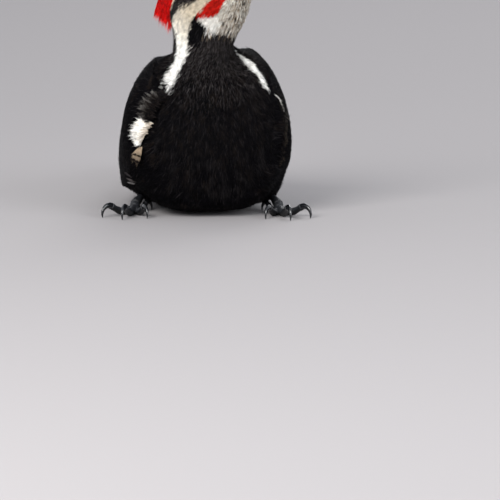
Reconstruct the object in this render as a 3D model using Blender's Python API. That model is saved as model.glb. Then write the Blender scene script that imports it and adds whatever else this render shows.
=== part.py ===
"""Male pileated woodpecker, life size, crouched on flat ground: tail down, head turned to its left and up.

Blender 4.5: blender --background --python part.py. Sizes below are millimetres, and MM makes them metres.
+Z is up and the floor is Z = 0. The bird faces -Y, so its left is +X. Every piece is built round the point
under the body, then one empty moves the whole bird, so that the origin is under the middle of its box.

Three frames are used. The body frame is the trunk, wings and tail before the body's slight turn. The head
frame has its origin midway between the eyes and is written (along the bill, up, to the bird's right). The
rest is in the bird's own upright frame.
"""

import math

import bmesh
import bpy
import numpy as np
from mathutils import Vector

MM = 0.001
GAP = 0.3  # between neighbouring solids
BODY_YAW = 8.0  # the body's turn to its left, in degrees

# The trunk in side view, in the body frame, from the tail coverts to the base of the neck:
# back (y, z), underside (y, z), half width, squareness of the section, how much wider it is below
TRUNK = [
    ((127, 24), (125, 17), 6.0, 2.0, 0.00),
    ((113, 30.5), (109, 17), 12.0, 2.0, 0.00),
    ((95, 42), (86, 12), 20.0, 2.0, 0.02),
    ((71, 56), (56, 6), 30.0, 2.2, 0.05),
    ((46, 71), (23, 2.0), 37.0, 2.7, 0.12),
    ((24, 83), (-9, 1.2), 40.5, 3.0, 0.12),
    ((8, 92), (-32, 8), 42.0, 2.7, 0.08),
    ((-3, 98), (-44, 32), 40.5, 2.4, 0.00),
    ((-11, 100.5), (-47, 58), 35.0, 2.3, -0.04),
    ((-15, 101.5), (-45, 79), 26.5, 2.1, -0.02),
]
# The neck, from below: centre (x, y, z), turn, pitch of its axis, half width, half depth
NECK = [
    ((0.9, -29.0, 97.0), 24.0, 57.0, 21.0, 20.0),
    ((-1.0, -27.0, 105.0), 42.0, 57.0, 19.4, 20.0),
]
# The head's outline in its own frame, from the nape to the bill:
# top (along, up), throat (along, up), half width
HEAD = [
    ((-36.5, 1.0), (-16.5, -39.5), 19.5),
    ((-25.0, 11.5), (-10.5, -34.0), 18.3),
    ((-12.0, 15.5), (-2.5, -29.5), 17.0),
    ((0.0, 14.0), (4.5, -24.5), 15.2),
    ((9.5, 9.5), (11.5, -17.5), 11.8),
    ((16.5, 3.8), (16.5, -10.8), 7.0),
]
HEAD_AT = Vector((9.6, -33.0, 141.1))  # midway between the eyes
HEAD_YAW, HEAD_PITCH = 58.0, 28.0

TRUNK_END = 9.45  # where the trunk gives way to the neck, and the neck to the head, along the rows above
NECK_END = 12.3
BODY_SIDES = 24

EYE_RADIUS = 5.2
EYE_OUT = 10.4  # the eye's centre, out from the middle of the head
EYE_UP = 0.6

BILL_LENGTH = 47.5
BILL_BASE = 16.5
BILL_HALF_WIDTH, BILL_TIP_HALF_WIDTH = 6.3, 1.3
# heights in the head frame at the base and at the tip of the bill
CULMEN, TOMIUM, GONYS = (3.2, -4.9), (-4.2, -6.2), (-9.0, -7.1)

# The crest in the head frame, from the forehead to its tip:
# foot (along, up), ridge (along, up), half width
CREST = [
    ((13.0, 4.0), (14.0, 8.2), 5.0),
    ((5.0, 8.0), (6.5, 15.5), 9.0),
    ((-7.0, 9.0), (-7.5, 21.5), 11.5),
    ((-17.0, 7.0), (-20.0, 25.0), 12.5),
    ((-26.0, 2.0), (-32.0, 20.5), 11.5),
    ((-33.0, -2.0), (-43.5, 11.5), 8.5),
    ((-39.0, -6.0), (-53.5, 1.8), 4.5),
    ((-44.0, -11.0), (-49.0, -8.5), 2.0),
]

# The left wing folded, in the body frame, from the bend to the tip:
# upper edge, lower edge, how far the outside bulges, thickness
WING = [
    ((35, -27, 85), (38, -33, 62), 2.0, 5.0),
    ((29.5, -8, 93.5), (46.5, -24, 40), 9.5, 8.0),
    ((25, 12, 93.5), (47.5, 2, 24), 10.5, 9.0),
    ((20, 40, 82), (45.5, 35, 17), 11.0, 8.0),
    ((15, 75, 63), (38, 74, 16), 10.5, 6.0),
    ((10, 112, 48), (28, 114, 18), 8.0, 4.5),
    ((6, 150, 36), (20, 154, 15.5), 5.0, 3.6),
    ((4, 182, 26), (15, 187, 12.5), 2.5, 3.0),
    ((5, 203, 19), (13, 204, 11.0), 1.0, 2.4),
]
RIGHT_WING_DROOP = 6.0  # how much lower the right wing's lower edge hangs, amidships
LEFT_WING_TUCK = 2.5  # how much closer the left wing is held to the body
WING_SHRUG = 2.4  # how much the left shoulder is raised, and the right one lowered
WING_SWING = 1.5  # how far the wings' lower edges swing to the bird's left
SHOULDER_OUT = 2.2  # how far the wings' upper edges stand out
LEFT_BULGE_LESS, RIGHT_BULGE_MORE = 2.5, 0.8  # the left wing is flatter and the right one rounder
COVERT_ROWS = ((0.0, 1.7), (2.45, 0.9), (3.75, 0.1))  # where each row of coverts starts, how proud it stands
COVERTS_AT = (0.0, 0.6, 1.45, 2.4, 2.5, 3.1, 3.7, 3.8, 4.55)  # sections of the wing over the coverts
FLIGHT_FROM = 4.65
FLIGHT_TIPS = (5.0, 5.35, 5.75, 6.2, 6.75, 7.35, 7.95, 7.7, 7.2, 6.4)  # from the upper edge to the lower
FLIGHT_STEP = 0.35  # each flight feather lies this much deeper than the one above it
FLIGHT_POINT = 0.32  # how far the middle of a tip runs past its corners
LEAST_THICK = 0.8

TAIL_ROOT, TAIL_TIP = (96.0, 27.0), (256.0, 1.3)  # (y, z) in the body frame
TAIL_YAW = 4.0  # the tail swings back towards straight behind
TAIL_HALF_ROOT, TAIL_HALF_WIDE, TAIL_WIDENS_OVER = 8.0, 22.5, 125.0
TAIL_EDGES = (0.0, 0.28, 0.46, 0.64, 0.82, 1.0)  # edges of the feathers that show, from the middle out
TAIL_THICK, TAIL_STEP, TAIL_POINT = 1.5, 0.75, 9.0
TAIL_LANDS = 0.93  # the share of its run where the tail meets the ground

HIP_LEFT = Vector((25.0, -10.0, 30.0))
HEEL_LEFT = Vector((36.0, 15.0, 11.0))
FOOT_LEFT = Vector((43.5, -13.0, 5.6))
RIGHT_FOOT_IN, RIGHT_FOOT_BACK = 1.0, 3.0  # how much nearer the middle, and further back, it stands
# Toes: name, direction from straight ahead outwards in degrees, length, half thickness, height of the
# last joint
TOES = [
    ("1", 212.0, 12.0, 1.9, 4.6),
    ("2", -18.0, 18.0, 2.1, 5.8),
    ("3", 13.0, 24.0, 2.3, 6.6),
    ("4", 44.0, 20.0, 2.2, 6.2),
]
CLAW_BEND = 2.5  # radians, from the claw's root to its tip

BLACK, GLOSS_BLACK, RED = (0.016, 0.014, 0.015), (0.010, 0.010, 0.012), (0.45, 0.008, 0.006)
CREAM, HORN, GREY, YELLOW = (0.72, 0.68, 0.58), (0.09, 0.09, 0.10), (0.13, 0.135, 0.15), (0.72, 0.48, 0.08)


def spline(rows, t):
    """The Catmull-Rom value of the rows at t, where each whole number is a row."""
    rows = np.asarray(rows, float)
    i = min(max(int(t), 0), len(rows) - 2)
    f = t - i
    b, c = rows[i], rows[i + 1]
    a = rows[i - 1] if i else 2 * b - c
    d = rows[i + 2] if i + 2 < len(rows) else 2 * c - b
    return b + f * ((c - a) + f * ((2 * a - 5 * b + 4 * c - d) + f * (3 * b - a - 3 * c + d))) / 2


def axes_at(yaw, pitch):
    """(along, up, right) of something that faces -Y, turned to its left by yaw and raised by pitch."""
    yaw, pitch = math.radians(yaw), math.radians(pitch)
    ahead = Vector((math.sin(yaw), -math.cos(yaw), 0))
    along = ahead * math.cos(pitch) + Vector((0, 0, math.sin(pitch)))
    up = Vector((0, 0, math.cos(pitch))) - ahead * math.sin(pitch)
    return along, up, along.cross(up)


def body_turned(point):
    """A point of the body frame in the bird's upright frame."""
    angle = math.radians(BODY_YAW)
    x, y, z = point
    return Vector((x * math.cos(angle) - y * math.sin(angle), x * math.sin(angle) + y * math.cos(angle), z))


def head_point(along, up, right=0.0):
    a, u, r = axes_at(HEAD_YAW, HEAD_PITCH)
    return HEAD_AT + a * along + u * up + r * right


def body_rows():
    """Trunk, neck and head as x, y, z, yaw, pitch, half width, half height, squareness, fullness below."""
    rows = []
    for back, under, half, square, full in TRUNK:
        rise = math.hypot(back[0] - under[0], back[1] - under[1])
        pitch = math.degrees(math.atan2(back[0] - under[0], back[1] - under[1]))
        centre = body_turned((0, (back[0] + under[0]) / 2, (back[1] + under[1]) / 2))
        rows.append((*centre, BODY_YAW, pitch, half, rise / 2, square, full))
    for centre, yaw, pitch, half, deep in NECK:
        rows.append((*centre, yaw, pitch, half, deep, 2.0, 0.0))
    for top, throat, half in HEAD:
        centre = head_point((top[0] + throat[0]) / 2, (top[1] + throat[1]) / 2)
        lean = math.degrees(math.atan2(throat[0] - top[0], top[1] - throat[1]))
        rise = math.hypot(top[0] - throat[0], top[1] - throat[1])
        rows.append((*centre, HEAD_YAW, HEAD_PITCH + lean, half, rise / 2, 2.0, 0.0))
    return rows


def body_ring(rows, t, grow=0.0, shift=0.0):
    """The body's section at t as a ring of points, grown outwards, and shifted along its axis."""
    x, y, z, yaw, pitch, half, high, square, full = spline(rows, t)
    along, up, right = axes_at(yaw, pitch)
    centre = Vector((x, y, z)) + along * shift
    ring = []
    for k in range(BODY_SIDES):
        angle = 2 * math.pi * k / BODY_SIDES
        c, s = math.cos(angle), math.sin(angle)
        across = math.copysign(abs(s) ** (2 / square), s) * (1 - full * c)
        upward = math.copysign(abs(c) ** (2 / square), c)
        ring.append(centre + right * across * (half + grow) + up * upward * (high + grow))
    return ring


def material(name, colour, roughness):
    made = bpy.data.materials.get(name)
    if made is None:
        made = bpy.data.materials.new(name)
        made.use_nodes = True
        shader = made.node_tree.nodes["Principled BSDF"]
        shader.inputs["Base Color"].default_value = (*colour, 1)
        shader.inputs["Roughness"].default_value = roughness
        shader.inputs["Metallic"].default_value = 0.0
        made.diffuse_color = (*colour, 1)
    return made


def finish_mesh(name, mesh_builder, look=None):
    """An object from a bmesh in millimetres, with its faces out, in the bird's or the cutters' collection."""
    for vert in mesh_builder.verts:
        vert.co *= MM
    bmesh.ops.remove_doubles(mesh_builder, verts=mesh_builder.verts, dist=1e-6)
    bmesh.ops.recalc_face_normals(mesh_builder, faces=mesh_builder.faces)
    mesh = bpy.data.meshes.new(name)
    mesh_builder.to_mesh(mesh)
    mesh_builder.free()
    obj = bpy.data.objects.new(name, mesh)
    if look is None:
        bpy.data.collections["cutters"].objects.link(obj)
        obj.hide_render = True
        obj.display_type = "WIRE"
    else:
        bpy.data.collections["pileated_woodpecker"].objects.link(obj)
        mesh.materials.append(look)
        mesh.shade_smooth()
    obj.parent = bpy.data.objects["origin"]
    return obj


def loft(name, rings, look=None, ladder=False):
    """A closed skin through rings of equal counts of points.

    Each end is one flat face, or a ladder of faces where a ring is a long strip, out along it and back.
    """
    bm = bmesh.new()
    made = [[bm.verts.new(point) for point in ring] for ring in rings]
    count = len(made[0])
    for low, high in zip(made, made[1:]):
        for k in range(count):
            bm.faces.new((low[k], low[(k + 1) % count], high[(k + 1) % count], high[k]))
    for end in (made[0], made[-1]):
        if ladder:
            for k in range(count // 2 - 1):
                bm.faces.new((end[k], end[k + 1], end[-k - 2], end[-k - 1]))
        else:
            bm.faces.new(end)
    return finish_mesh(name, bm, look)


def boolean(obj, operation, other):
    """obj joined with or cut by another object, or by every object of a collection."""
    modifier = obj.modifiers.new(operation.lower(), "BOOLEAN")
    modifier.operation = operation
    modifier.solver = "EXACT"
    if isinstance(other, bpy.types.Collection):
        modifier.operand_type = "COLLECTION"
        modifier.collection = other
        modifier.use_self = True
    else:
        modifier.object = other


def cutter_group(name, objects):
    """The cutters in a collection of their own, so that one Boolean takes them all."""
    group = bpy.data.collections.new(name)
    bpy.data.collections["cutters"].children.link(group)
    for obj in objects:
        group.objects.link(obj)
        bpy.data.collections["cutters"].objects.unlink(obj)
    return group


def steps(start, end, count):
    return [start + (end - start) * k / (count - 1) for k in range(count)]


def body_sections(rows):
    """Where the sections of the trunk, neck and head are taken, along the rows."""
    return steps(0, TRUNK_END, 20), steps(TRUNK_END, NECK_END, 6), steps(NECK_END, len(rows) - 1, 11)


def make_body(rows):
    """Trunk, neck and head, parted by thin flat cuts."""
    black = material("plumage_black", BLACK, 0.75)
    looks = {"trunk": black, "neck": black, "head": material("plumage_cream", CREAM, 0.8)}
    made = []
    for (name, look), sections in zip(looks.items(), body_sections(rows)):
        first = body_ring(rows, sections[0], shift=0 if name == "trunk" else GAP / 2)
        last = body_ring(rows, sections[-1], shift=0 if name == "head" else -GAP / 2)
        made.append(loft(name, [first, *[body_ring(rows, t) for t in sections[1:-1]], last], look))
    return made


def make_eyes(head):
    """Two eyes, each in a socket cut a little wider."""
    yellow = material("eye_yellow", YELLOW, 0.1)
    for side, word in ((1, "right"), (-1, "left")):
        balls = ((f"eye_{word}", EYE_RADIUS, yellow), (f"socket_{word}", EYE_RADIUS + GAP, None))
        for name, radius, look in balls:
            bm = bmesh.new()
            bmesh.ops.create_uvsphere(bm, u_segments=12, v_segments=8, radius=radius)
            bmesh.ops.translate(bm, verts=bm.verts, vec=head_point(0, EYE_UP, side * EYE_OUT))
            made = finish_mesh(name, bm, look)
        boolean(head, "DIFFERENCE", made)


def bill_ring(share, edge, ridge, half):
    """A section of one half of the bill: flat along its cutting edge and arched to the ridge."""
    along = BILL_BASE + GAP + share * BILL_LENGTH
    count = 8
    arch = [2 * k / count - 1 for k in range(count + 1)]
    ring = [head_point(along, edge + (ridge - edge) * (1 - abs(u) ** 1.7), u * half) for u in arch]
    return ring


def make_bill():
    """The straight chisel bill: an upper and a lower half that meet along the cutting edges."""
    for name, outer, length, drop in (("bill_upper", CULMEN, 1.0, 0.0), ("bill_lower", GONYS, 0.972, -GAP)):
        rings = []
        for share in steps(0, length, 7):
            edge = TOMIUM[0] + (TOMIUM[1] - TOMIUM[0]) * share + drop
            ridge = outer[0] + (outer[1] - outer[0]) * share ** 1.15
            half = BILL_HALF_WIDTH + (BILL_TIP_HALF_WIDTH - BILL_HALF_WIDTH) * share ** 0.8
            rings.append(bill_ring(share, edge, ridge, half))
        loft(name, rings, material("bill_horn", HORN, 0.35))


def make_crest(rows):
    """The red crest: a swept wedge over the crown, cut to the head and nape beneath it."""
    rings = []
    for t in steps(0, len(CREST) - 1, 14):
        foot_a, foot_u, top_a, top_u, half = spline([(*foot, *top, width) for foot, top, width in CREST], t)
        ring = []
        for k in range(13):
            across = 1 - 2 * k / 12
            rise = 1 - abs(across) ** 1.6
            along, up = foot_a + (top_a - foot_a) * rise, foot_u + (top_u - foot_u) * rise
            ring.append(head_point(along, up, across * half))
        rings.append(ring)
    crest = loft("crest", rings, material("crest_red", RED, 0.7))
    _, neck, head = body_sections(rows)
    boolean(crest, "DIFFERENCE", loft("crest_seat", [body_ring(rows, t, grow=GAP) for t in neck + head[1:]]))


def wing_row(s, side):
    """(upper edge, lower edge, bulge, thickness) of the folded wing at s, on the left side of the body."""
    row = spline([(*upper, *lower, bulge, thick) for upper, lower, bulge, thick in WING], s)
    upper, lower, bulge, thick = Vector(row[:3]), Vector(row[3:6]), row[6], row[7]
    near_shoulder = math.sin(math.pi * min(max(s, 0) / 3.2, 1))
    upper.z += side * WING_SHRUG * near_shoulder
    lower.x += side * WING_SWING * near_shoulder
    upper.x += SHOULDER_OUT * near_shoulder
    if side > 0:
        bulge -= LEFT_BULGE_LESS * near_shoulder
    else:
        bulge += RIGHT_BULGE_MORE * near_shoulder
        lower.z -= RIGHT_WING_DROOP * math.sin(math.pi * min(s / 5.0, 1))
    return upper, lower, bulge, thick


def wing_point(s, t, side, proud=0.0):
    """(point, outward normal) of the wing's outside: s from bend to tip, t from the upper edge down."""
    upper, lower, bulge, _ = wing_row(s, side)
    next_upper, next_lower, _, _ = wing_row(s + 0.05, side)
    chord = lower - upper
    out = (next_upper + next_lower - upper - lower).cross(chord).normalized()
    if out.x < 0:
        out = -out
    lean = (1 - 2 * t) * 4 * bulge / chord.length
    normal = (out - chord.normalized() * lean).normalized()
    point = upper + chord * t + out * bulge * 4 * t * (1 - t) + normal * proud
    if side > 0:
        point.x -= LEFT_WING_TUCK
    point.x *= side
    normal.x *= side
    return body_turned(point), body_turned(normal)


def wing_column(rank, share, side):
    """The run of one flight feather and its coverts, outside and then inside, at a share across it."""
    width = 1 / len(FLIGHT_TIPS)
    t = (rank + 0.5 + 0.49 * share) * width
    tip = FLIGHT_TIPS[rank] - FLIGHT_POINT * abs(share)
    outside, inside = [], []
    for s in (*COVERTS_AT, FLIGHT_FROM, (FLIGHT_FROM + tip) / 2, tip):
        if s < FLIGHT_FROM:
            proud = [height for start, height in COVERT_ROWS if start <= s][-1] * (1 - (2 * t - 1) ** 4)
        else:
            proud = -FLIGHT_STEP * (1 + rank)
        point, normal = wing_point(s, t, side, proud)
        thick = max(wing_row(s, side)[3] * (0.25 + 3 * t * (1 - t)), LEAST_THICK)
        outside.append(point)
        inside.append(point - normal * (thick + max(proud, 0)))
    return outside + inside[::-1]


def make_wing(word, side, trunk_seat):
    """A folded wing: stepped coverts over the fanned tips of the secondaries and primaries."""
    columns = [wing_column(rank, share, side) for rank in range(len(FLIGHT_TIPS)) for share in (-1, 0, 1)]
    wing = loft(f"wing_{word}", columns, material("wing_black", GLOSS_BLACK, 0.5), ladder=True)
    boolean(wing, "DIFFERENCE", trunk_seat)


def tail_column(rank, side, share):
    """The run of one tail feather, top and then underside, at a share from its inner edge (-1) out (1)."""
    inner, outer = TAIL_EDGES[rank] + 0.004, TAIL_EDGES[rank + 1] - 0.004
    across = side * (inner + (outer - inner) * (share + 1) / 2)
    run = TAIL_TIP[0] - TAIL_ROOT[0]
    length = run - 3.0 * rank - 2.2 * rank**2 - TAIL_POINT * abs(share) ** 1.2
    root = body_turned((0, TAIL_ROOT[0], 0))
    turn = math.radians(BODY_YAW - TAIL_YAW)
    top, bottom = [], []
    for q in (0.0, 0.25, 0.5, 0.75, 0.93, 1.0):
        along = length * q
        widening = math.sin(math.pi / 2 * min(along / TAIL_WIDENS_OVER, 1))
        x = across * (TAIL_HALF_ROOT + (TAIL_HALF_WIDE - TAIL_HALF_ROOT) * widening)
        z = TAIL_TIP[1] + (TAIL_ROOT[1] - TAIL_TIP[1]) * max(1 - along / run / TAIL_LANDS, 0) ** 1.4
        z = max(z - TAIL_STEP * rank - 0.4 * share**2 + 0.15 * side, 1.25 - 0.02 * rank + 0.05 * side)
        onward = Vector((-math.sin(turn), math.cos(turn), 0))
        point = root + Vector((math.cos(turn), math.sin(turn), 0)) * x + onward * along
        top.append(point + Vector((0, 0, z)))
        bottom.append(point + Vector((0, 0, max(z - TAIL_THICK, 0))))
    return top + bottom[::-1]


def make_tail(trunk_seat):
    """Stiff pointed tail feathers in steps, the middle pair longest and on top, bowed down to the ground."""
    ranks = range(len(TAIL_EDGES) - 1)
    columns = [tail_column(rank, 1, share) for rank in reversed(ranks) for share in (1, 0, -1)]
    columns += [tail_column(rank, -1, share) for rank in ranks for share in (-1, 0, 1)]
    tail = loft("tail", columns, material("wing_black", GLOSS_BLACK, 0.5), ladder=True)
    boolean(tail, "DIFFERENCE", trunk_seat)


def tube(name, points, radii, look=None, sides=8):
    """A round tube through points, each ring square to its path."""
    rings = []
    for k, (point, radius) in enumerate(zip(points, radii)):
        onward = (points[min(k + 1, len(points) - 1)] - points[max(k - 1, 0)]).normalized()
        across = onward.cross(Vector((0, 0, 1))).normalized()
        up = across.cross(onward)
        angles = [2 * math.pi * j / sides for j in range(sides)]
        rings.append([point + across * math.cos(a) * radius + up * math.sin(a) * radius for a in angles])
    return loft(name, rings, look)


def mirrored(point, side):
    """A point of the left leg, or its twin on the right leg, which stands a little further in and back."""
    if side > 0:
        return Vector(point)
    return Vector((-point[0] + RIGHT_FOOT_IN, point[1] + RIGHT_FOOT_BACK, point[2]))


def make_leg(word, side, trunk, trunk_seat, ground):
    """Feathered thigh, bare shank, foot with two toes ahead, one out, one behind, and four hooked claws."""
    scaly = material("foot_grey", GREY, 0.5)
    horn = material("claw_horn", HORN, 0.35)
    hip, heel, foot_at = (mirrored(point, side) for point in (HIP_LEFT, HEEL_LEFT, FOOT_LEFT))
    shares = steps(0, 1, 9)
    thigh_line = [hip.lerp(heel, q) for q in shares]
    thigh_radii = [13.5 * math.sqrt(max(1 - (1.6 * q - 0.75) ** 2, 0.05)) - 1.0 * q for q in shares]
    thigh = tube(f"thigh_{word}", thigh_line, thigh_radii, material("plumage_black", BLACK, 0.75), sides=14)
    boolean(thigh, "DIFFERENCE", trunk_seat)

    ball = 3.1
    shank_way = foot_at - heel
    shank_end = foot_at - shank_way.normalized() * (ball + GAP)
    shank_line = [heel.lerp(shank_end, q) for q in shares]
    radii = [2.9 - 0.9 * math.sin(math.pi * min(q * 1.2, 1)) for q in shares]
    tube(f"shank_{word}", shank_line, radii, scaly)
    onward = shank_way.normalized() * GAP
    seat_line = [shank_line[0] - onward, *shank_line[1:-1], shank_end + onward]
    shank_seat = tube(f"shank_seat_{word}", seat_line, [radius + GAP for radius in radii])
    boolean(thigh, "DIFFERENCE", shank_seat)
    boolean(trunk, "DIFFERENCE", shank_seat)

    bm = bmesh.new()
    bmesh.ops.create_uvsphere(bm, u_segments=10, v_segments=6, radius=ball)
    bmesh.ops.translate(bm, verts=bm.verts, vec=foot_at - Vector((0, 0, 1.2)))
    foot = finish_mesh(f"foot_{word}", bm, scaly)
    toes = []
    for digit, turn, length, thick, rise in TOES:
        angle = math.radians(turn)
        ahead = Vector((math.sin(angle) * side, -math.cos(angle), 0))
        heights = [(foot_at.z - 1.6,), (thick + 0.3,), (thick - 0.35,), ((thick + rise) / 2 - 0.6,), (rise,)]
        line, radii = [], []
        for q in steps(0, 1, 7):
            height = Vector((0, 0, spline(heights, 4 * q)[0]))
            line.append(Vector((foot_at.x, foot_at.y, 0)) + ahead * length * q + height)
            radii.append(thick * (1.06 - 0.16 * q))
        toes.append(tube(f"toe_{word}_{digit}", line, radii))
        onward = (line[-1] - line[-2]).normalized()
        make_claw(f"claw_{word}_{digit}", line[-1] + onward * GAP, ahead, onward, radii[-1], horn, ground)
    boolean(foot, "UNION", cutter_group(f"toes_{word}", toes))
    boolean(foot, "DIFFERENCE", shank_seat)
    boolean(foot, "DIFFERENCE", ground)


def make_claw(name, start, ahead, rise, radius, look, ground):
    """A claw that leaves the toe along its rise and hooks down to the ground."""
    first = math.asin(rise.z)
    drop = (math.cos(first) - math.cos(first - CLAW_BEND)) / CLAW_BEND
    length = (start.z + 0.3) / drop
    count = 7
    point, line, sizes, headings = start.copy(), [start.copy()], [radius * 0.95], [first]
    for k in range(1, count):
        heading = first - CLAW_BEND * (k - 0.5) / (count - 1)
        point = point + (ahead * math.cos(heading) + Vector((0, 0, math.sin(heading)))) * length / (count - 1)
        line.append(point.copy())
        sizes.append(radius * 0.95 * (1 - k / (count - 1)) ** 0.75 + 0.22)
        headings.append(first - CLAW_BEND * k / (count - 1))
    rings = []
    across = ahead.cross(Vector((0, 0, 1)))
    for point, size, heading in zip(line, sizes, headings):
        up = Vector((0, 0, math.cos(heading))) - ahead * math.sin(heading)
        angles = [math.pi * j / 3 for j in range(6)]
        rings.append([point + across * math.cos(a) * size * 0.72 + up * math.sin(a) * size for a in angles])
    boolean(loft(name, rings, look), "DIFFERENCE", ground)


def centre_on_box():
    """Moves the bird so that the origin is under the middle of its box."""
    bpy.context.view_layer.update()
    graph = bpy.context.evaluated_depsgraph_get()
    corners = []
    for obj in bpy.data.collections["pileated_woodpecker"].objects:
        made = obj.evaluated_get(graph)
        if made.type == "MESH":
            corners += [made.matrix_world @ vert.co for vert in made.data.vertices]
    low = [min(corner[k] for corner in corners) for k in range(3)]
    high = [max(corner[k] for corner in corners) for k in range(3)]
    bpy.data.objects["origin"].location = (-(low[0] + high[0]) / 2, -(low[1] + high[1]) / 2, -low[2])


def main():
    for obj in list(bpy.data.objects):
        bpy.data.objects.remove(obj)
    for name in ("pileated_woodpecker", "cutters"):
        bpy.context.scene.collection.children.link(bpy.data.collections.new(name))
    origin = bpy.data.objects.new("origin", None)
    bpy.data.collections["pileated_woodpecker"].objects.link(origin)

    rows = body_rows()
    trunk, _, head = make_body(rows)
    make_eyes(head)
    make_bill()
    make_crest(rows)
    along_trunk, along_neck, _ = body_sections(rows)
    trunk_seat = loft("trunk_seat", [body_ring(rows, t, grow=GAP) for t in along_trunk + along_neck[1:]])
    bm = bmesh.new()
    bmesh.ops.create_cube(bm, size=800)
    bmesh.ops.translate(bm, verts=bm.verts, vec=(0, 0, -400))
    ground = finish_mesh("ground", bm)
    for word, side in (("left", 1), ("right", -1)):
        make_wing(word, side, trunk_seat)
        make_leg(word, side, trunk, trunk_seat, ground)
    make_tail(trunk_seat)
    centre_on_box()


main()
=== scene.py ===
"""The looks of the life-size pileated woodpecker: skin, feathers, crest, bill, eyes, feet, floor, light and camera.

Sizes are millimetres in the bird's own upright frame, +Z up and facing -Y, with the floor at Z = 0, as in the
construction. ORIGIN is where that frame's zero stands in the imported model. The head frame has its origin midway
between the eyes and is written (along the bill, up, to the bird's right).

A Surface is a closed loft as a table over (t, u): t runs along its sections and u is the share of the way round.
Each tuft is rooted at a (t, u) and follows its surface, so the lie of the coat, its markings and its bake map all
come from the same two numbers.
"""

import math

import bmesh
import bpy
import numpy as np
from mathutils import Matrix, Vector
from mathutils.bvhtree import BVHTree
from mathutils.kdtree import KDTree


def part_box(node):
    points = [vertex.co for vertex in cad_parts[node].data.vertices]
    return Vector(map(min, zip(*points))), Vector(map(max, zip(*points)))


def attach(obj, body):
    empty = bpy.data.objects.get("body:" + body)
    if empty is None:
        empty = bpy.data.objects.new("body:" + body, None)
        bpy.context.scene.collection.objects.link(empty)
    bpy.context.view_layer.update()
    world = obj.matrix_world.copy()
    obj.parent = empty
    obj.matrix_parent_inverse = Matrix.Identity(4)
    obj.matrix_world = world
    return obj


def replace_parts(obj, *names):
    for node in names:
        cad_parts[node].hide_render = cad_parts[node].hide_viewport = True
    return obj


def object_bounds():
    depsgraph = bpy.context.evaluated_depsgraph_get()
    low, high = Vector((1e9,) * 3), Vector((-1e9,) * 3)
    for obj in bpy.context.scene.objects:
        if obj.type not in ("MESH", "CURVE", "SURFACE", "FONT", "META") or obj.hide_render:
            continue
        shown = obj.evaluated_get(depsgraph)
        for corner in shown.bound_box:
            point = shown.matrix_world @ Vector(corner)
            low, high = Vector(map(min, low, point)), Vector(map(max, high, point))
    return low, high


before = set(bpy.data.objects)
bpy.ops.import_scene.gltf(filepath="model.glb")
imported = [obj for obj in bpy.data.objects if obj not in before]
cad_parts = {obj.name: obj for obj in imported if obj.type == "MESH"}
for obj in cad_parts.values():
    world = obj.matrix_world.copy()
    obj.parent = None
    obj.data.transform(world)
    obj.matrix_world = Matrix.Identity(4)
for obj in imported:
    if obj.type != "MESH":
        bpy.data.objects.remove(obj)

CAD_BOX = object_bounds()
MM = 0.001
TURN = 2 * math.pi
UP = np.array([0.0, 0.0, 1.0])
SIDES = (("left", 1), ("right", -1))
EYES = (("right", 1), ("left", -1))  # the head frame counts to the bird's right

# ---- The construction's own sizes ----

BODY_YAW = 8.0
# back (y, z), underside (y, z), half width, squareness, how much wider below than above
TRUNK = [
    ((127, 24), (125, 17), 6.0, 2.0, 0.00),
    ((113, 30.5), (109, 17), 12.0, 2.0, 0.00),
    ((95, 42), (86, 12), 20.0, 2.0, 0.02),
    ((71, 56), (56, 6), 30.0, 2.2, 0.05),
    ((46, 71), (23, 2.0), 37.0, 2.7, 0.12),
    ((24, 83), (-9, 1.2), 40.5, 3.0, 0.12),
    ((8, 92), (-32, 8), 42.0, 2.7, 0.08),
    ((-3, 98), (-44, 32), 40.5, 2.4, 0.00),
    ((-11, 100.5), (-47, 58), 35.0, 2.3, -0.04),
    ((-15, 101.5), (-45, 79), 26.5, 2.1, -0.02),
]
# centre (x, y, z), turn, pitch of the axis, half width, half depth
NECK = [
    ((0.9, -29.0, 97.0), 24.0, 57.0, 21.0, 20.0),
    ((-1.0, -27.0, 105.0), 42.0, 57.0, 19.4, 20.0),
]
# in the head frame, from the nape to the bill: top (along, up), throat (along, up), half width
HEAD = [
    ((-36.5, 1.0), (-16.5, -39.5), 19.5),
    ((-25.0, 11.5), (-10.5, -34.0), 18.3),
    ((-12.0, 15.5), (-2.5, -29.5), 17.0),
    ((0.0, 14.0), (4.5, -24.5), 15.2),
    ((9.5, 9.5), (11.5, -17.5), 11.8),
    ((16.5, 3.8), (16.5, -10.8), 7.0),
]
HEAD_AT = np.array([9.6, -33.0, 141.1])
HEAD_YAW, HEAD_PITCH = 58.0, 28.0
EYE_RADIUS, EYE_OUT, EYE_UP = 5.2, 10.4, 0.6
BILL_LENGTH, BILL_BASE = 47.5, 16.5
BILL_HALF_WIDTH, BILL_TIP_HALF_WIDTH = 6.3, 1.3
CULMEN, TOMIUM, GONYS = (3.2, -4.9), (-4.2, -6.2), (-9.0, -7.1)
# in the head frame, from the forehead to the tip: foot (along, up), ridge (along, up), half width
CREST = [
    ((13.0, 4.0), (14.0, 8.2), 5.0),
    ((5.0, 8.0), (6.5, 15.5), 9.0),
    ((-7.0, 9.0), (-7.5, 21.5), 11.5),
    ((-17.0, 7.0), (-20.0, 25.0), 12.5),
    ((-26.0, 2.0), (-32.0, 20.5), 11.5),
    ((-33.0, -2.0), (-43.5, 11.5), 8.5),
    # past the back edge of the solid, so that the crest's feathers can run on
    ((-39.5, -7.0), (-52.5, 3.0), 5.2),
    ((-46.0, -13.0), (-60.0, -7.0), 3.0),
]
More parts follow.
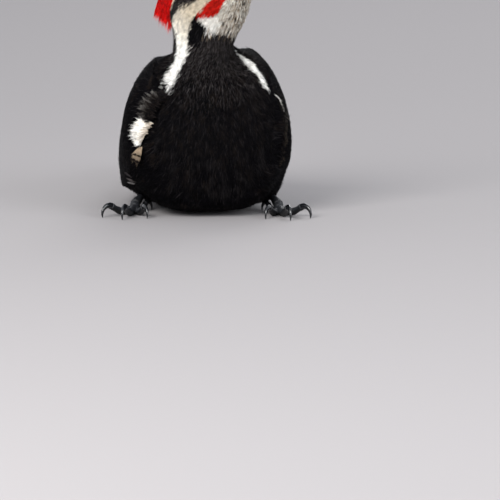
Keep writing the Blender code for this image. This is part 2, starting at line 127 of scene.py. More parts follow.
# the left wing folded, from the bend to the tip: upper edge, lower edge, bulge, thickness
WING = [
    (35, -27, 85, 38, -33, 62, 2.0, 5.0),
    (29.5, -8, 93.5, 46.5, -24, 40, 9.5, 8.0),
    (25, 12, 93.5, 47.5, 2, 24, 10.5, 9.0),
    (20, 40, 82, 45.5, 35, 17, 11.0, 8.0),
    (15, 75, 63, 38, 74, 16, 10.5, 6.0),
    (10, 112, 48, 28, 114, 18, 8.0, 4.5),
    (6, 150, 36, 20, 154, 15.5, 5.0, 3.6),
    (4, 182, 26, 15, 187, 12.5, 2.5, 3.0),
    (5, 203, 19, 13, 204, 11.0, 1.0, 2.4),
]
RIGHT_WING_DROOP, DROOP_TO = 6.0, 5.0
LEFT_WING_TUCK = 2.5
SHOULDER_TO = 3.2
WING_SHRUG, WING_SWING = 2.4, 1.5
SHOULDER_OUT, LEFT_BULGE_LESS, RIGHT_BULGE_MORE = 2.2, 2.5, 0.8
FLIGHT_TIPS = (5.0, 5.35, 5.75, 6.2, 6.75, 7.35, 7.95, 7.7, 7.2, 6.4)
TAIL_ROOT, TAIL_TIP = (96.0, 27.0), (256.0, 1.3)
TAIL_YAW = 4.0
TAIL_HALF_ROOT, TAIL_HALF_WIDE, TAIL_WIDENS_OVER = 8.0, 22.5, 125.0
TAIL_EDGES = (0.0, 0.28, 0.46, 0.64, 0.82, 1.0)
TAIL_STEP, TAIL_POINT = 0.75, 9.0
TAIL_LANDS = 0.93
HIP_LEFT, HEEL_LEFT, FOOT_LEFT = (25.0, -10.0, 30.0), (36.0, 15.0, 11.0), (43.5, -13.0, 5.6)
RIGHT_FOOT_IN, RIGHT_FOOT_BACK = 1.0, 3.0
FOOT_BALL = 3.1
# direction from straight ahead outwards in degrees, length, half thickness, height of the last joint
TOES = [(212.0, 12.0, 1.9, 4.6), (-18.0, 18.0, 2.1, 5.8), (13.0, 24.0, 2.3, 6.6), (44.0, 20.0, 2.2, 6.2)]
CLAW_BEND = 2.5

# ---- The plumage's own sizes ----

WING_COAT = 1.1  # how far the coverts' surface stands off the wing, and how much more at the shoulder and left edge
SHOULDER_FULL, LEFT_EDGE_FULL = 0.6, 1.5
THIGH_RADIUS, THIGH_COAT = 13.5, 1.5
SKIN_WING_END = 4.95  # where the wing's skin stops under the flight feathers
COAT_KNOTS = [0, 2, 4, 6, 8, 10, 12, 13.5, 15, 16, 17]
COAT_LENGTH = [17, 17, 17, 15.5, 11.0, 5.6, 6.0, 6.6, 4.6, 3.2, 2.4]
COAT_WIDTH = [6.5, 6.5, 6.0, 5.2, 3.8, 2.0, 1.9, 1.8, 1.3, 1.0, 0.9]
COAT_GAP = [1.9, 1.8, 1.6, 1.4, 1.05, 0.70, 0.71, 0.72, 0.58, 0.50, 0.44]
COAT_SEEN = 0.85  # the share of a feather's length where its colour is looked up, as the rest lies under others
LIDS = 4.6
TO_TIPS = (0, 0, 0.35, 0.35, 1.0)  # how far each of a strand's five points runs to the colour of its tip
PATCH, MAP_EDGE, MAP_SPAN = 0.003, 0.004, 0.99  # a tuft's patch in the bake map, and the part of it used
LEAST_ROUND = 8.0  # the least distance round a surface, so that tufts don't spin where it narrows to its ends
LEAST_HEIGHT, LEAST_TINT = 0.1, 0.0013
FAR_OFF = 99.0

# ---- Colours, linear ----

BLACK = np.array([0.0019, 0.0017, 0.0023])
BROWN_BLACK = np.array([0.0085, 0.0064, 0.0056])
SOOT = np.array([0.018, 0.016, 0.017])
# a dark grey; its strands over the neck and upper breast are painted sheen of the feathers' tips, and it also tones
# one of the right wing's bars
DUSK = np.array([0.046, 0.041, 0.041])
CREAM = np.array([0.55, 0.48, 0.37])
WHITE = np.array([0.93, 0.92, 0.88])
THROAT = np.array([0.51, 0.48, 0.425])
TAN = np.array([0.26, 0.20, 0.14])
MALAR_RED = np.array([0.42, 0.010, 0.006])
CREST_RED = np.array([0.60, 0.006, 0.005])
GREY = np.array([0.20, 0.19, 0.19])
FRINGE = np.array([0.42, 0.37, 0.31])
GOLD, PUPIL, EYE_RIM = np.array([0.66, 0.42, 0.05]), 0.003, np.array([0.012, 0.010, 0.009])
LID_GREY = np.array([0.030, 0.031, 0.034])
SLATE, PALE_HORN = np.array([0.024, 0.025, 0.029]), np.array([0.25, 0.23, 0.195])
FOOT_GREY, CLAW_BLACK = np.array([0.012, 0.013, 0.0155]), np.array([0.005, 0.0055, 0.007])

# ---- Shapes ----


def spline(rows, t):
    """The Catmull-Rom values of the rows at every t, where each whole number is a row."""
    rows, t = np.asarray(rows, float), np.asarray(t, float)
    last = len(rows) - 1
    i = np.clip(t.astype(int), 0, last - 1)
    f = (t - i)[..., None]
    b, c = rows[i], rows[i + 1]
    a = np.where((i > 0)[..., None], rows[np.maximum(i - 1, 0)], 2 * b - c)
    d = np.where((i + 2 <= last)[..., None], rows[np.minimum(i + 2, last)], 2 * c - b)
    return b + f * ((c - a) + f * ((2 * a - 5 * b + 4 * c - d) + f * (3 * b - a - 3 * c + d))) / 2


def length_of(vectors):
    return np.linalg.norm(vectors, axis=-1)


def unit(vectors):
    return vectors / np.maximum(np.linalg.norm(vectors, axis=-1, keepdims=True), 1e-9)


def angles(count):
    return np.linspace(0, TURN, count, endpoint=False)


def grid(*axes):
    return np.meshgrid(*axes, indexing="ij")


def axes_at(yaw, pitch):
    """(along, up, right) of something that faces -Y, turned to its left by yaw and raised by pitch."""
    yaw, pitch = np.radians(yaw), np.radians(pitch)
    ahead = np.stack([np.sin(yaw), -np.cos(yaw), 0.0])
    along = ahead * np.cos(pitch) + UP * np.sin(pitch)
    up = UP * np.cos(pitch) - ahead * np.sin(pitch)
    return np.array([along, up, np.cross(along, up)])


HEAD_AXES = axes_at(HEAD_YAW, HEAD_PITCH)


def head_point(along, up, right=0.0):
    return HEAD_AT + np.stack(np.broadcast_arrays(along, up, right), -1) @ HEAD_AXES


def turned(points, degrees=BODY_YAW):
    """Points of the body frame in the bird's upright frame."""
    angle = math.radians(degrees)
    x, y, z = np.moveaxis(np.asarray(points, float), -1, 0)
    return np.stack([x * math.cos(angle) - y * math.sin(angle), x * math.sin(angle) + y * math.cos(angle), z], -1)


ORIGIN = np.array(sum(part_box("eye_left"), Vector())) / 2 / MM - head_point(0, EYE_UP, -EYE_OUT)


def placed(points):
    """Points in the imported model, in metres."""
    return (points + ORIGIN) * MM


def kd_tree(points):
    tree = KDTree(len(points))
    for k, point in enumerate(points):
        tree.insert(point, k)
    tree.balance()
    return tree


class Surface:
    """A closed loft through rings, as a table of points, outward normals and steps over (t, u)."""

    def __init__(self, rings, step, lie, around=256):
        even = []
        for ring in rings:
            closed = np.vstack([ring, ring[:1]])
            run = np.r_[0, np.cumsum(length_of(np.diff(closed, axis=0)))]
            places = np.arange(around) / around * run[-1]
            even.append(np.stack([np.interp(places, run, closed[:, k]) for k in range(3)], -1))
        point = np.array(even)
        d_t = np.gradient(point, step, axis=0)
        d_u = (np.roll(point, -1, 1) - np.roll(point, 1, 1)) * around / 2
        self.table = np.concatenate([point, unit(np.cross(d_u, d_t)), d_t, d_u], 2)
        self.step, self.lie, self.around = step, lie, around
        self.end = step * (len(point) - 1)
        self.tree = None

    def at(self, t, u, columns=slice(None)):
        """(point, normal, change along t, change along u) at each (t, u), or the columns of them asked for."""
        x, y = np.asarray(t) / self.step, (np.asarray(u) % 1) * self.around
        i = np.clip(x.astype(int), 0, len(self.table) - 2)
        j = y.astype(int) % self.around
        f, g = (x - i)[..., None], (y - y.astype(int))[..., None]
        after = (j + 1) % self.around
        table = self.table[..., columns]
        low = table[i, j] * (1 - g) + table[i, after] * g
        high = table[i + 1, j] * (1 - g) + table[i + 1, after] * g
        return low * (1 - f) + high * f

    def points(self, t, u):
        return self.at(t, u, slice(0, 3))

    def areas(self):
        return length_of(np.cross(self.table[..., 6:9], self.table[..., 9:12])) * self.step / self.around

    def nearest(self, points):
        """(t, u, distance) of the place on the surface nearest to each point."""
        if self.tree is None:
            self.tree = kd_tree(self.table[:, ::2, :3].reshape(-1, 3))
        found = [self.tree.find(point) for point in points]
        index = np.array([hit[1] for hit in found])
        columns = self.around // 2
        return index // columns * self.step, index % columns / columns, np.array([hit[2] for hit in found])


def body_rows():
    """Trunk, neck and head as x, y, z, yaw, pitch, half width, half height, squareness, fullness below."""
    rows = []
    for back, under, half, square, full in TRUNK:
        tall = (back[0] - under[0], back[1] - under[1])
        centre = turned((0, (back[0] + under[0]) / 2, (back[1] + under[1]) / 2))
        rows.append((*centre, BODY_YAW, math.degrees(math.atan2(*tall)), half, math.hypot(*tall) / 2, square, full))
    for centre, yaw, pitch, half, deep in NECK:
        rows.append((*centre, yaw, pitch, half, deep, 2.0, 0.0))
    for top, throat, half in HEAD:
        centre = head_point((top[0] + throat[0]) / 2, (top[1] + throat[1]) / 2)
        lean = math.degrees(math.atan2(throat[0] - top[0], top[1] - throat[1]))
        rise = math.hypot(top[0] - throat[0], top[1] - throat[1])
        rows.append((*centre, HEAD_YAW, HEAD_PITCH + lean, half, rise / 2, 2.0, 0.0))
    return np.array(rows)


def body_surface(step=0.05):
    rows = body_rows()
    angle = angles(720)
    c, s = np.cos(angle), np.sin(angle)
    rings = []
    for x, y, z, yaw, pitch, half, high, square, full in spline(rows, np.arange(0, len(rows) - 1 + step / 2, step)):
        _, up, right = axes_at(yaw, pitch)
        across = np.sign(s) * np.abs(s) ** (2 / square) * (1 - full * c) * half
        upward = np.sign(c) * np.abs(c) ** (2 / square) * high
        rings.append(np.array([x, y, z]) + np.outer(across, right) + np.outer(upward, up))
    return Surface(rings, step, lie=-1)


def wing_outside(s, t, side):
    """(points, outward normals, thickness) of the folded wing, s from the bend and t from its upper edge."""

    def edges(at):
        row = spline(WING, at)
        near_shoulder = np.sin(math.pi * np.clip(at / SHOULDER_TO, 0, 1))
        row[..., 2] += side * WING_SHRUG * near_shoulder
        row[..., 3] += side * WING_SWING * near_shoulder
        row[..., 0] += SHOULDER_OUT * near_shoulder
        row[..., 6] += (-LEFT_BULGE_LESS if side > 0 else RIGHT_BULGE_MORE) * near_shoulder
        if side < 0:
            row[..., 5] -= RIGHT_WING_DROOP * np.sin(math.pi * np.minimum(at / DROOP_TO, 1))
        return row

    s, t = np.broadcast_arrays(np.asarray(s, float), np.asarray(t, float))
    here, there = edges(s), edges(s + 0.05)
    upper, lower, bulge, thick = here[..., :3], here[..., 3:6], here[..., 6:7], here[..., 7]
    chord = lower - upper
    out = unit(np.cross(there[..., :3] + there[..., 3:6] - upper - lower, chord))
    out = out * np.where(out[..., :1] < 0, -1, 1)
    share = t[..., None]
    lean = (1 - 2 * share) * 4 * bulge / np.linalg.norm(chord, axis=-1, keepdims=True)
    normal = unit(out - unit(chord) * lean)
    point = upper + chord * share + out * bulge * 4 * share * (1 - share)
    if side > 0:
        point[..., 0] -= LEFT_WING_TUCK
    mirror = np.array([side, 1.0, 1.0])
    return turned(point * mirror), turned(normal * mirror), thick * (0.25 + 3 * t * (1 - t))


def wing_surface(side):
    """The folded wing as a closed loft, rounded over at the bend: u runs down the outside and back up inside."""
    step, nose, nose_length = 0.05, 0.45, 4.5
    share = np.linspace(0.004, 0.996, 120)
    rings = []
    for s in np.arange(-nose, 8 + step / 2, step):
        point, normal, thick = wing_outside(max(s, 0.0), share, side)
        inside = point - normal * thick[:, None]
        full = SHOULDER_FULL * math.exp(-(((s - 0.9) / 0.9) ** 2)) * np.clip((0.40 - share) / 0.26, 0, 1)
        full = full * np.clip(0.1 + share / 0.14, 0, 1)
        if side > 0:
            full = full + LEFT_EDGE_FULL * math.exp(-(((s - 1.8) / 0.9) ** 2)) * np.clip((share - 0.6) / 0.25, 0, 1)
        ring = np.vstack([point + normal * (WING_COAT + full)[:, None], inside[::-1]])
        if s < 0:
            onward = unit(wing_outside(0.3, 0.5, side)[0] - wing_outside(0.0, 0.5, side)[0])
            bow = math.sqrt(1 - (s / nose) ** 2)
            middle = ring.mean(axis=0)
            ring = middle + (ring - middle) * max(bow, 0.05) + onward * s / nose * nose_length
        rings.append(ring if side > 0 else ring[::-1])
    return Surface(rings, step, lie=1)


def crest_surface(step=0.05):
    """The crest as an arched loft from the forehead, running on past its own back edge so that its feathers can."""
    across = np.linspace(1, -1, 60)
    rise = 1 - np.abs(across) ** 1.6
    rings = []
    rows = [(*foot, *top, width) for foot, top, width in CREST]
    for foot_a, foot_u, top_a, top_u, half in spline(rows, np.arange(0, len(CREST) - 1 + step / 2, step)):
        rings.append(head_point(foot_a + (top_a - foot_a) * rise, foot_u + (top_u - foot_u) * rise, across * half))
    return Surface(rings, step, lie=1)


def hull_surface(surfaces):
    """The trunk, wings and thighs wrapped in convex slices square to the bird, from its back to its front."""
    front, back, step, half_slab, below_neck = -38.0, 58.0, 1.0, 1.5, 102.5
    narrower, narrows_from, narrows_over, least_cosine = 0.12, 34, 24, 0.05
    points = np.concatenate([surface.table[..., :3].reshape(-1, 3) for surface in surfaces])
    points = turned(points[points[:, 2] < below_neck], -BODY_YAW)
    angle = angles(360)
    ways = np.stack([-np.sin(angle), np.cos(angle)], 1)
    turn = np.cos(angle[:, None] - angle)
    rings = []
    for y in np.arange(back, front - step / 2, -step):
        slab = points[np.abs(points[:, 1] - y) < half_slab][:, [0, 2]]
        middle = np.array([0.0, (slab[:, 1].max() + slab[:, 1].min()) / 2])
        reach = ((slab - middle) @ ways.T).max(axis=0)
        radius = np.where(turn > least_cosine, reach / np.maximum(turn, least_cosine), np.inf).min(axis=1)
        radius = radius * (1 - narrower * np.clip((y - narrows_from) / narrows_over, 0, 1) ** 2)
        flat = middle + ways * radius[:, None]
        rings.append(turned(np.stack([flat[:, 0], np.full(len(flat), y), flat[:, 1]], 1)))
    return Surface(rings, step, lie=-1)


def tube_rings(line, radii, sides=48):
    """Round sections square to a line."""
    onward = unit(np.gradient(line, axis=0))
    across = unit(np.cross(onward, UP))
    up = np.cross(across, onward)
    angle = angles(sides)[:, None]
    ring = across[:, None] * np.cos(angle) + up[:, None] * np.sin(angle)
    return line[:, None] + ring * radii[:, None, None]


def mirrored(point, side):
    """A point of the left leg, or its twin on the right leg, which stands a little further in and back."""
    x, y, z = point
    return np.array([x, y, z]) if side > 0 else np.array([-x + RIGHT_FOOT_IN, y + RIGHT_FOOT_BACK, z])


def thigh_surface(side):
    share = np.linspace(0, 1, 41)
    line = mirrored(HIP_LEFT, side) + np.outer(share, mirrored(HEEL_LEFT, side) - mirrored(HIP_LEFT, side))
    radii = THIGH_RADIUS * np.sqrt(np.maximum(1 - (1.6 * share - 0.75) ** 2, 0.05)) - share + THIGH_COAT
    return Surface(tube_rings(line, radii)[:, ::-1], 1 / 40, lie=1)


def eye_axes(side):
    """(centre, outwards, ahead, up) of an eye, which looks a little ahead and up."""
    out = unit(side * HEAD_AXES[2] + 0.16 * HEAD_AXES[0] + 0.05 * HEAD_AXES[1])
    ahead, up = (unit(axis - out * (axis @ out)) for axis in HEAD_AXES[:2])
    return head_point(0, EYE_UP, side * EYE_OUT), out, ahead, up


def on_eye(side, polar, angle, radius):
    """Points round an eye at angles from its line of sight and round it."""
    centre, out, across, up = eye_axes(side)
    ring = np.cos(angle)[..., None] * across + np.sin(angle)[..., None] * up
    return centre + (np.cos(polar)[..., None] * out + np.sin(polar)[..., None] * ring) * radius[..., None]


def off_eye(points, side):
    """(distance, vector) from an eye's line of sight to each point, far off where it is on the other side."""
    centre, out, _, _ = eye_axes(side)
    reach = points - centre
    ahead = reach @ out
    aside = reach - ahead[..., None] * out
    return np.where(ahead > 0, length_of(aside), FAR_OFF), aside


def off_eyes(points):
    return np.minimum(off_eye(points, 1)[0], off_eye(points, -1)[0])


# ---- Meshes and materials ----


def tinted(name, roughness, specular, mottle=0.35, bump=0.0, bump_scale=0.0, coat=0.0):
    """A material whose colour is the piece's tint, mottled by noise, with a fine noise bump."""
    mottle_scale, bump_depth, coat_roughness = 400.0, 0.0003, 0.08
    look = bpy.data.materials.new(name)
    look.use_nodes = True
    nodes, links = look.node_tree.nodes, look.node_tree.links

    def node(kind, **values):
        made = nodes.new(f"ShaderNode{kind}")
        for socket, value in values.items():
            made.inputs[socket.replace("_", " ")].default_value = value
        return made

    def join(source, out, target, into):
        links.new(source.outputs[out], target.inputs[into])

    shader = nodes["Principled BSDF"]
    shader.inputs["Roughness"].default_value = roughness
    shader.inputs["Specular IOR Level"].default_value = specular
    shader.inputs["Coat Weight"].default_value = coat
    shader.inputs["Coat Roughness"].default_value = coat_roughness
    tint, where = node("Attribute"), node("TexCoord")
    tint.attribute_name = "tint"
    noise = node("TexNoise", Scale=mottle_scale, Detail=3.0)
    spread = node("MapRange", From_Min=0.3, From_Max=0.7, To_Min=1 - mottle, To_Max=1 + mottle * 0.6)
    product = node("VectorMath")
    product.operation = "SCALE"
    join(where, "Object", noise, "Vector")
    join(noise, "Fac", spread, "Value")
    join(tint, "Color", product, 0)
    join(spread, "Result", product, "Scale")
    join(product, "Vector", shader, "Base Color")
    if bump:
        fine = node("TexNoise", Scale=bump_scale, Detail=4.0)
        rise = node("Bump", Strength=bump, Distance=bump_depth)
        join(where, "Object", fine, "Vector")
        join(fine, "Fac", rise, "Height")
        join(rise, "Normal", shader, "Normal")
    return look


LOOKS = {row[0]: tinted(*row) for row in (
    # name, roughness, specular level, mottling, bump, the bump's scale, clear coat
    ("feathers", 0.6, 0.03),
    ("wing_coverts", 0.6, 0.025),
    ("flight_feathers", 0.55, 0.02, 0.2, 0.3, 900.0),
    ("skin", 0.8, 0.1, 0.35, 0.6, 700.0),
    ("crest_feathers", 0.45, 0.08),
    ("eye", 0.15, 0.5, 0.08, 0.0, 0.0, 1.0),
    ("orbital_skin", 0.5, 0.4, 0.35, 0.5, 3000.0),
    ("bill_horn", 0.5, 0.2, 0.25, 0.35, 1200.0),
    ("foot_skin", 0.45, 0.3, 0.3, 0.35, 3500.0),
    ("claw_horn", 0.2, 0.5, 0.15, 0.1, 2500.0, 0.3),
)}
# the look of each slot name, where it isn't the slot's own name
LOOK_OF = {"plumage_black": "feathers", "plumage_head": "feathers", "plumage_red": "crest_feathers"}


def finished(piece, tint, slot, look=None):
    """The piece with its tint, one colour or one for each vertex, and its material, riding on the bird."""
    colours = np.ones((len(piece.data.vertices), 4), np.float32)
    colours[:, :3] = tint
    piece.data.attributes.new("tint", "FLOAT_COLOR", "POINT").data.foreach_set("color", colours.ravel())
    piece.data.materials.append(LOOKS[look or LOOK_OF.get(slot, slot)])
    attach(piece, "root")
    return piece


def linked(name, data):
    """A new object of the data in the scene."""
    made = bpy.data.objects.new(name, data)
    bpy.context.scene.collection.objects.link(made)
    return made


def mesh_piece(name, points, faces, slot, tint, patch=None, look=None):
    """A piece from arrays of points in millimetres and of triangles or quads."""
    mesh = bpy.data.meshes.new(name)
    faces = np.asarray(faces, np.int32)
    mesh.vertices.add(len(points))
    mesh.vertices.foreach_set("co", placed(points).astype(np.float32).ravel())
    mesh.loops.add(faces.size)
    mesh.loops.foreach_set("vertex_index", faces.ravel())
    mesh.polygons.add(len(faces))
    mesh.polygons.foreach_set("loop_start", np.arange(0, faces.size, faces.shape[1], dtype=np.int32))
    mesh.update(calc_edges=True)
    mesh.shade_smooth()
    if patch is not None:
        layer = mesh.uv_layers.new(name="OFBake")
        layer.data.foreach_set("uv", patch[faces.ravel()].astype(np.float32).ravel())
    return finished(linked(name, mesh), tint, slot, look)


def read(mesh, what):
    """The places or normals of a mesh's vertices as an array."""
    values = np.empty(len(mesh.vertices) * 3, np.float32)
    mesh.vertices.foreach_get(what, values)
    return values.reshape(-1, 3).astype(float)


def loft_into(bm, rings):
    """Adds a closed loft to bm, with its ends filled."""
    rings = [[bm.verts.new(placed(point)) for point in ring] for ring in rings]
    for low, high in zip(rings, rings[1:]):
        for k in range(len(low)):
            bm.faces.new((low[k - 1], low[k], high[k], high[k - 1]))
    bm.faces.new(rings[0])
    bm.faces.new(rings[-1])


def remeshed(name, bm, voxel, rounds):
    """A new object of bm's overlapping shells made one surface by voxels, and smoothed."""
    bmesh.ops.recalc_face_normals(bm, faces=bm.faces)
    mesh = bpy.data.meshes.new(name)
    bm.to_mesh(mesh)
    bm.free()
    piece = linked(name, mesh)
    remesh = piece.modifiers.new("remesh", "REMESH")
    remesh.mode = "VOXEL"
    remesh.voxel_size = voxel * MM
    piece.modifiers.new("smooth", "SMOOTH").iterations = rounds
    made = bpy.data.meshes.new_from_object(piece.evaluated_get(bpy.context.evaluated_depsgraph_get()))
    piece.modifiers.clear()
    piece.data = made
    made.shade_smooth()
    return piece


def grid_faces(rows, around, start=0):
    """Quads between the points of a grid that closes round its columns."""
    i, j = grid(np.arange(rows - 1) * around + start, np.arange(around))
    k = (j + 1) % around
    return np.stack([i + j, i + k, i + around + k, i + around + j], -1).reshape(-1, 4)


def end_face(first, around, count):
    """A ladder of quads over the flat end of such a grid, whose row of points begins at first."""
    j = np.arange(count)
    return first + np.stack([j, j + 1, around - 2 - j, around - 1 - j], -1)


# ---- Tufts ----


def scatter(surface, spacing, rng, t_range, u_range=(0.0, 1.0), wanted=None):
    """Roots (t, u) spread evenly over part of a surface. spacing is (places along t, the gaps there)."""
    area, tries_per_root = surface.areas(), 4.5
    ts = np.arange(len(area)) * surface.step
    us = np.arange(surface.around) / surface.around
    inside = ((ts >= t_range[0]) & (ts < t_range[1]))[:, None] & ((us >= u_range[0]) & (us <= u_range[1]))
    weight = np.where(inside, area / np.interp(ts, *spacing)[:, None] ** 2, 0).ravel()
    total = np.cumsum(weight)
    count = int(total[-1] * tries_per_root)
    cell = np.searchsorted(total, rng.random(count) * total[-1])
    t = ts[cell // surface.around] + (rng.random(count) - 0.5) * surface.step
    u = us[cell % surface.around] + (rng.random(count) - 0.5) / surface.around
    t = np.clip(t, *t_range)
    if wanted is not None:
        chosen = wanted(t, u)
        t, u = t[chosen], u[chosen]
    points = surface.points(t, u)
    gaps = np.interp(t, *spacing)
    tree = kd_tree(points)
    free = np.ones(len(points), bool)
    kept = []
    for k in range(len(points)):
        if free[k]:
            kept.append(k)
            for _, near, _ in tree.find_range(points[k], gaps[k]):
                free[near] = False
    return t[kept], u[kept] % 1


def lay_of(surface, t, u, length, turn, stations=4):
    """The (t, u) of each tuft at equal shares of its length."""
    ts, us = [t], [u]
    for _ in range(stations - 1):
        here = surface.at(t, u)
        along, round_ = length_of(here[:, 6:9]), length_of(here[:, 9:12])
        step = length / (stations - 1)
        t = t + surface.lie * step * np.cos(turn) / along
        u = u + step * np.sin(turn) / np.maximum(round_, LEAST_ROUND)
        ts.append(t)
        us.append(u)
    return np.stack(ts, 1), np.stack(us, 1)


def fan(n, m, rng, fray):
    """(shares of the length, sideways places from -1 to 1) of the stations of each of m strands in n tufts.

    The outer strands start later and end sooner, so that each tuft ends in a point.
    """
    q = np.broadcast_to(np.linspace(-1, 1, m), (n, m)) + rng.normal(0, 0.5 / m, (n, m))
    start = 0.04 + 0.3 * rng.random((n, m)) * np.abs(q)
    end = 1 - 0.34 * np.abs(q) ** 1.8 + rng.normal(0, fray, (n, m)) * 0.5
    share = np.stack([start, start + 0.55 * (end - start), end], 2)
    return share, np.stack([0.12 * q, 0.72 * q, q * (1 + rng.normal(0, fray, (n, m)))], 2)


def ribbons(centre, aside, normal, ribbon, rng):
    """Thin tapered ribbons of three triangles through centre (n, m, 3), and their places in a bake patch."""
    n, m = centre.shape[:2]
    roll = rng.normal(0, 0.5, (n, m))
    half = aside[:, None] * np.cos(roll)[..., None] + normal[:, None] * np.sin(roll)[..., None]
    half = half * (ribbon / 2)
    root, middle, tip = centre[:, :, 0], centre[:, :, 1], centre[:, :, 2]
    points = np.stack([root - half, root + half, middle - half * 0.85, middle + half * 0.85, tip], 2)
    faces = (np.arange(n * m) * 5)[:, None, None] + np.array([[0, 1, 3], [0, 3, 2], [2, 3, 4]])
    local = np.array([[0, 0], [1, 0], [0.1, 0.5], [0.9, 0.5], [0.5, 1.0]]) * PATCH
    return points.reshape(-1, 3), faces.reshape(-1, 3), np.broadcast_to(local, (n, m, 5, 2))


def spread_out(n, *values):
    """Each value as an array over n tufts, ready to meet their strands and stations."""
    return (np.broadcast_to(np.asarray(x, float), (n,))[:, None, None] for x in values)


def tufts(surface, t, u, length, width, depth, rng, strands, ribbon, turn, lift=0.0, fray=0.12, sink=0.9):
    """Leaf-shaped fans of ribbons, one at each root: (points, triangles, patch places).

    Each tuft rises from the skin, depth under the surface, and lies along it to a tip near the surface.
    """
    n = len(t)
    way_t, way_u = lay_of(surface, t, u, length, turn)
    width, depth, turn, lift = spread_out(n, width, depth, turn, lift)
    root = surface.at(t, u)
    along, round_ = unit(root[:, 6:9]), unit(root[:, 9:12])
    reach_t, reach_u = length_of(root[:, 6:9]), np.maximum(length_of(root[:, 9:12]), LEAST_ROUND)
    aside = -surface.lie * np.sin(turn[..., 0]) * along + np.cos(turn[..., 0]) * round_
    share, offset = fan(n, strands, rng, fray)
    offset = offset * width / 2
    spread = np.clip(share, 0, 1.15) * (way_t.shape[1] - 1)
    k = np.clip(spread.astype(int), 0, way_t.shape[1] - 2)
    f = spread - k
    index = np.arange(n)[:, None, None]
    st, su = (way[index, k] * (1 - f) + way[index, k + 1] * f for way in (way_t, way_u))
    st = st - surface.lie * offset * np.sin(turn) / reach_t[:, None, None]
    su = su + offset * np.cos(turn) / reach_u[:, None, None]
    place = surface.at(st, su, slice(0, 6))
    rise = np.array([-sink, -0.28, -0.04]) * depth + np.array([0, 0.25, 1.0]) * lift
    rise = rise + rng.normal(0, 1, (n, strands, 1)) * np.array([0.0, 0.06, 0.12]) * depth
    return ribbons(place[..., :3] + place[..., 3:] * rise[..., None], aside, root[:, 3:6], ribbon, rng)


def free_tufts(roots, tips, normals, width, bow, rng, strands, ribbon, fray):
    """Leaf-shaped fans of ribbons from each root to its tip, bowed towards the normal."""
    n = len(roots)
    onward = tips - roots
    aside = unit(np.cross(normals, onward))
    share, offset = fan(n, strands, rng, fray)
    offset = offset * width / 2
    rise = bow * 4 * share * (1 - share) + rng.normal(0, 0.12, (n, strands, 1)) * share
    centre = roots[:, None, None] + onward[:, None, None] * share[..., None]
    centre = centre + aside[:, None, None] * offset[..., None] + normals[:, None, None] * rise[..., None]
    return ribbons(centre, aside, normals, ribbon, rng)


def coat_piece(name, made, t, u, t_span, colour, rng, second=None, share=0.0, tips=None, run=TO_TIPS,
               slot="plumage_black", look=None):
    """A coat piece from tufts already made: their tint, and a bake map with each tuft's patch at its root's place.

    A share of the strands take the second colour, and strands run to the colour of the tips.
    """
    points, faces, local = made
    points[..., 2] = np.maximum(points[..., 2], LEAST_HEIGHT)
    n, strands = local.shape[:2]
    vary = 1 + rng.normal(0, 0.10, (n, 1, 1)) + rng.normal(0, 0.08, (n, strands, 1))
    tint = np.broadcast_to(np.broadcast_to(colour, (n, 3))[:, None, :], (n, strands, 3))
    if second is not None:
        other = rng.random((n, strands)) < np.broadcast_to(share, (n,))[:, None]
        tint = np.where(other[..., None], np.broadcast_to(second, (n, 3))[:, None, :], tint)
    tint = np.repeat((tint * vary)[:, :, None, :], 5, 2)
    if tips is not None:
        blend = np.array(run)[:, None]
        tint = tint * (1 - blend) + (np.broadcast_to(tips, (n, 3))[:, None, :] * vary)[:, :, None, :] * blend
    low, high = t_span
    place = np.stack([u % 1, np.clip((t - low) / (high - low), 0, 1)], -1)
    patch = (MAP_EDGE + place[:, None, None, :] * MAP_SPAN + local).reshape(-1, 2)
    tint = np.clip(tint, LEAST_TINT, 1.0).reshape(-1, 3)
    mesh_piece(name, points, faces, slot, tint, patch, look)


def coat(name, surface, t, u, t_span, colour, rng, second, share, slot="plumage_black", look=None, **shape):
    """A coat piece whose tufts lie along a surface."""
    made = tufts(surface, t, u, rng=rng, **shape)
    coat_piece(name, made, t, u, t_span, colour, rng, second, share, slot=slot, look=look)


# ---- Markings ----

# Edges of the markings as (t, share of the way round from the top), from the bill backwards. The sides differ
# only where the left stripe narrows on to the shoulder. STRIPE has its upper edge, lower edge and end on each side.
FACE_STRIPE_TOP = [(17.0, 0.205), (16.0, 0.232), (15.0, 0.240), (13.8, 0.230), (13.05, 0.215), (12.55, 0.170),
                   (12.05, 0.146)]
FACE_STRIPE_FOOT = [(17.0, 0.250), (16.0, 0.262), (15.0, 0.268), (14.35, 0.272), (13.3, 0.279), (12.9, 0.268),
                    (12.45, 0.270), (11.9, 0.274)]
STRIPE = {
    "right": (FACE_STRIPE_TOP + [(11.55, 0.160), (11.15, 0.190), (10.65, 0.228), (9.95, 0.252), (9.2, 0.262),
                                 (8.2, 0.258)],
              FACE_STRIPE_FOOT + [(11.3, 0.298), (10.65, 0.312), (9.9, 0.314), (8.2, 0.326)], 8.42),
    "left": (FACE_STRIPE_TOP + [(11.3, 0.190), (10.5, 0.208), (10.0, 0.240), (9.5, 0.230), (9.05, 0.240),
                                (8.5, 0.262), (8.0, 0.276), (7.8, 0.280)],
             FACE_STRIPE_FOOT + [(11.3, 0.256), (10.65, 0.246), (10.35, 0.256), (10.0, 0.280), (9.3, 0.294),
                                 (8.85, 0.296), (8.2, 0.292), (7.8, 0.284)], 8.04),
}
MALAR_FOOT = [(17.0, 0.305), (16.0, 0.320), (15.2, 0.336), (14.1, 0.352), (13.6, 0.332), (13.2, 0.304),
              (13.0, 0.270)]
MASK_TOP = [(17.0, 0.150), (16.0, 0.165), (15.3, 0.165), (14.0, 0.135), (13.0, 0.118), (12.0, 0.10)]
THROAT_END = [(0.26, 12.3), (0.335, 12.6), (0.375, 12.85), (0.414, 13.2), (0.453, 13.4), (0.50, 13.15)]
BROW, BROW_SPAN = 0.022, (12.2, 15.4)
CROWN_FROM, PAINTED_SHEEN_FROM = 12.0, 8.3
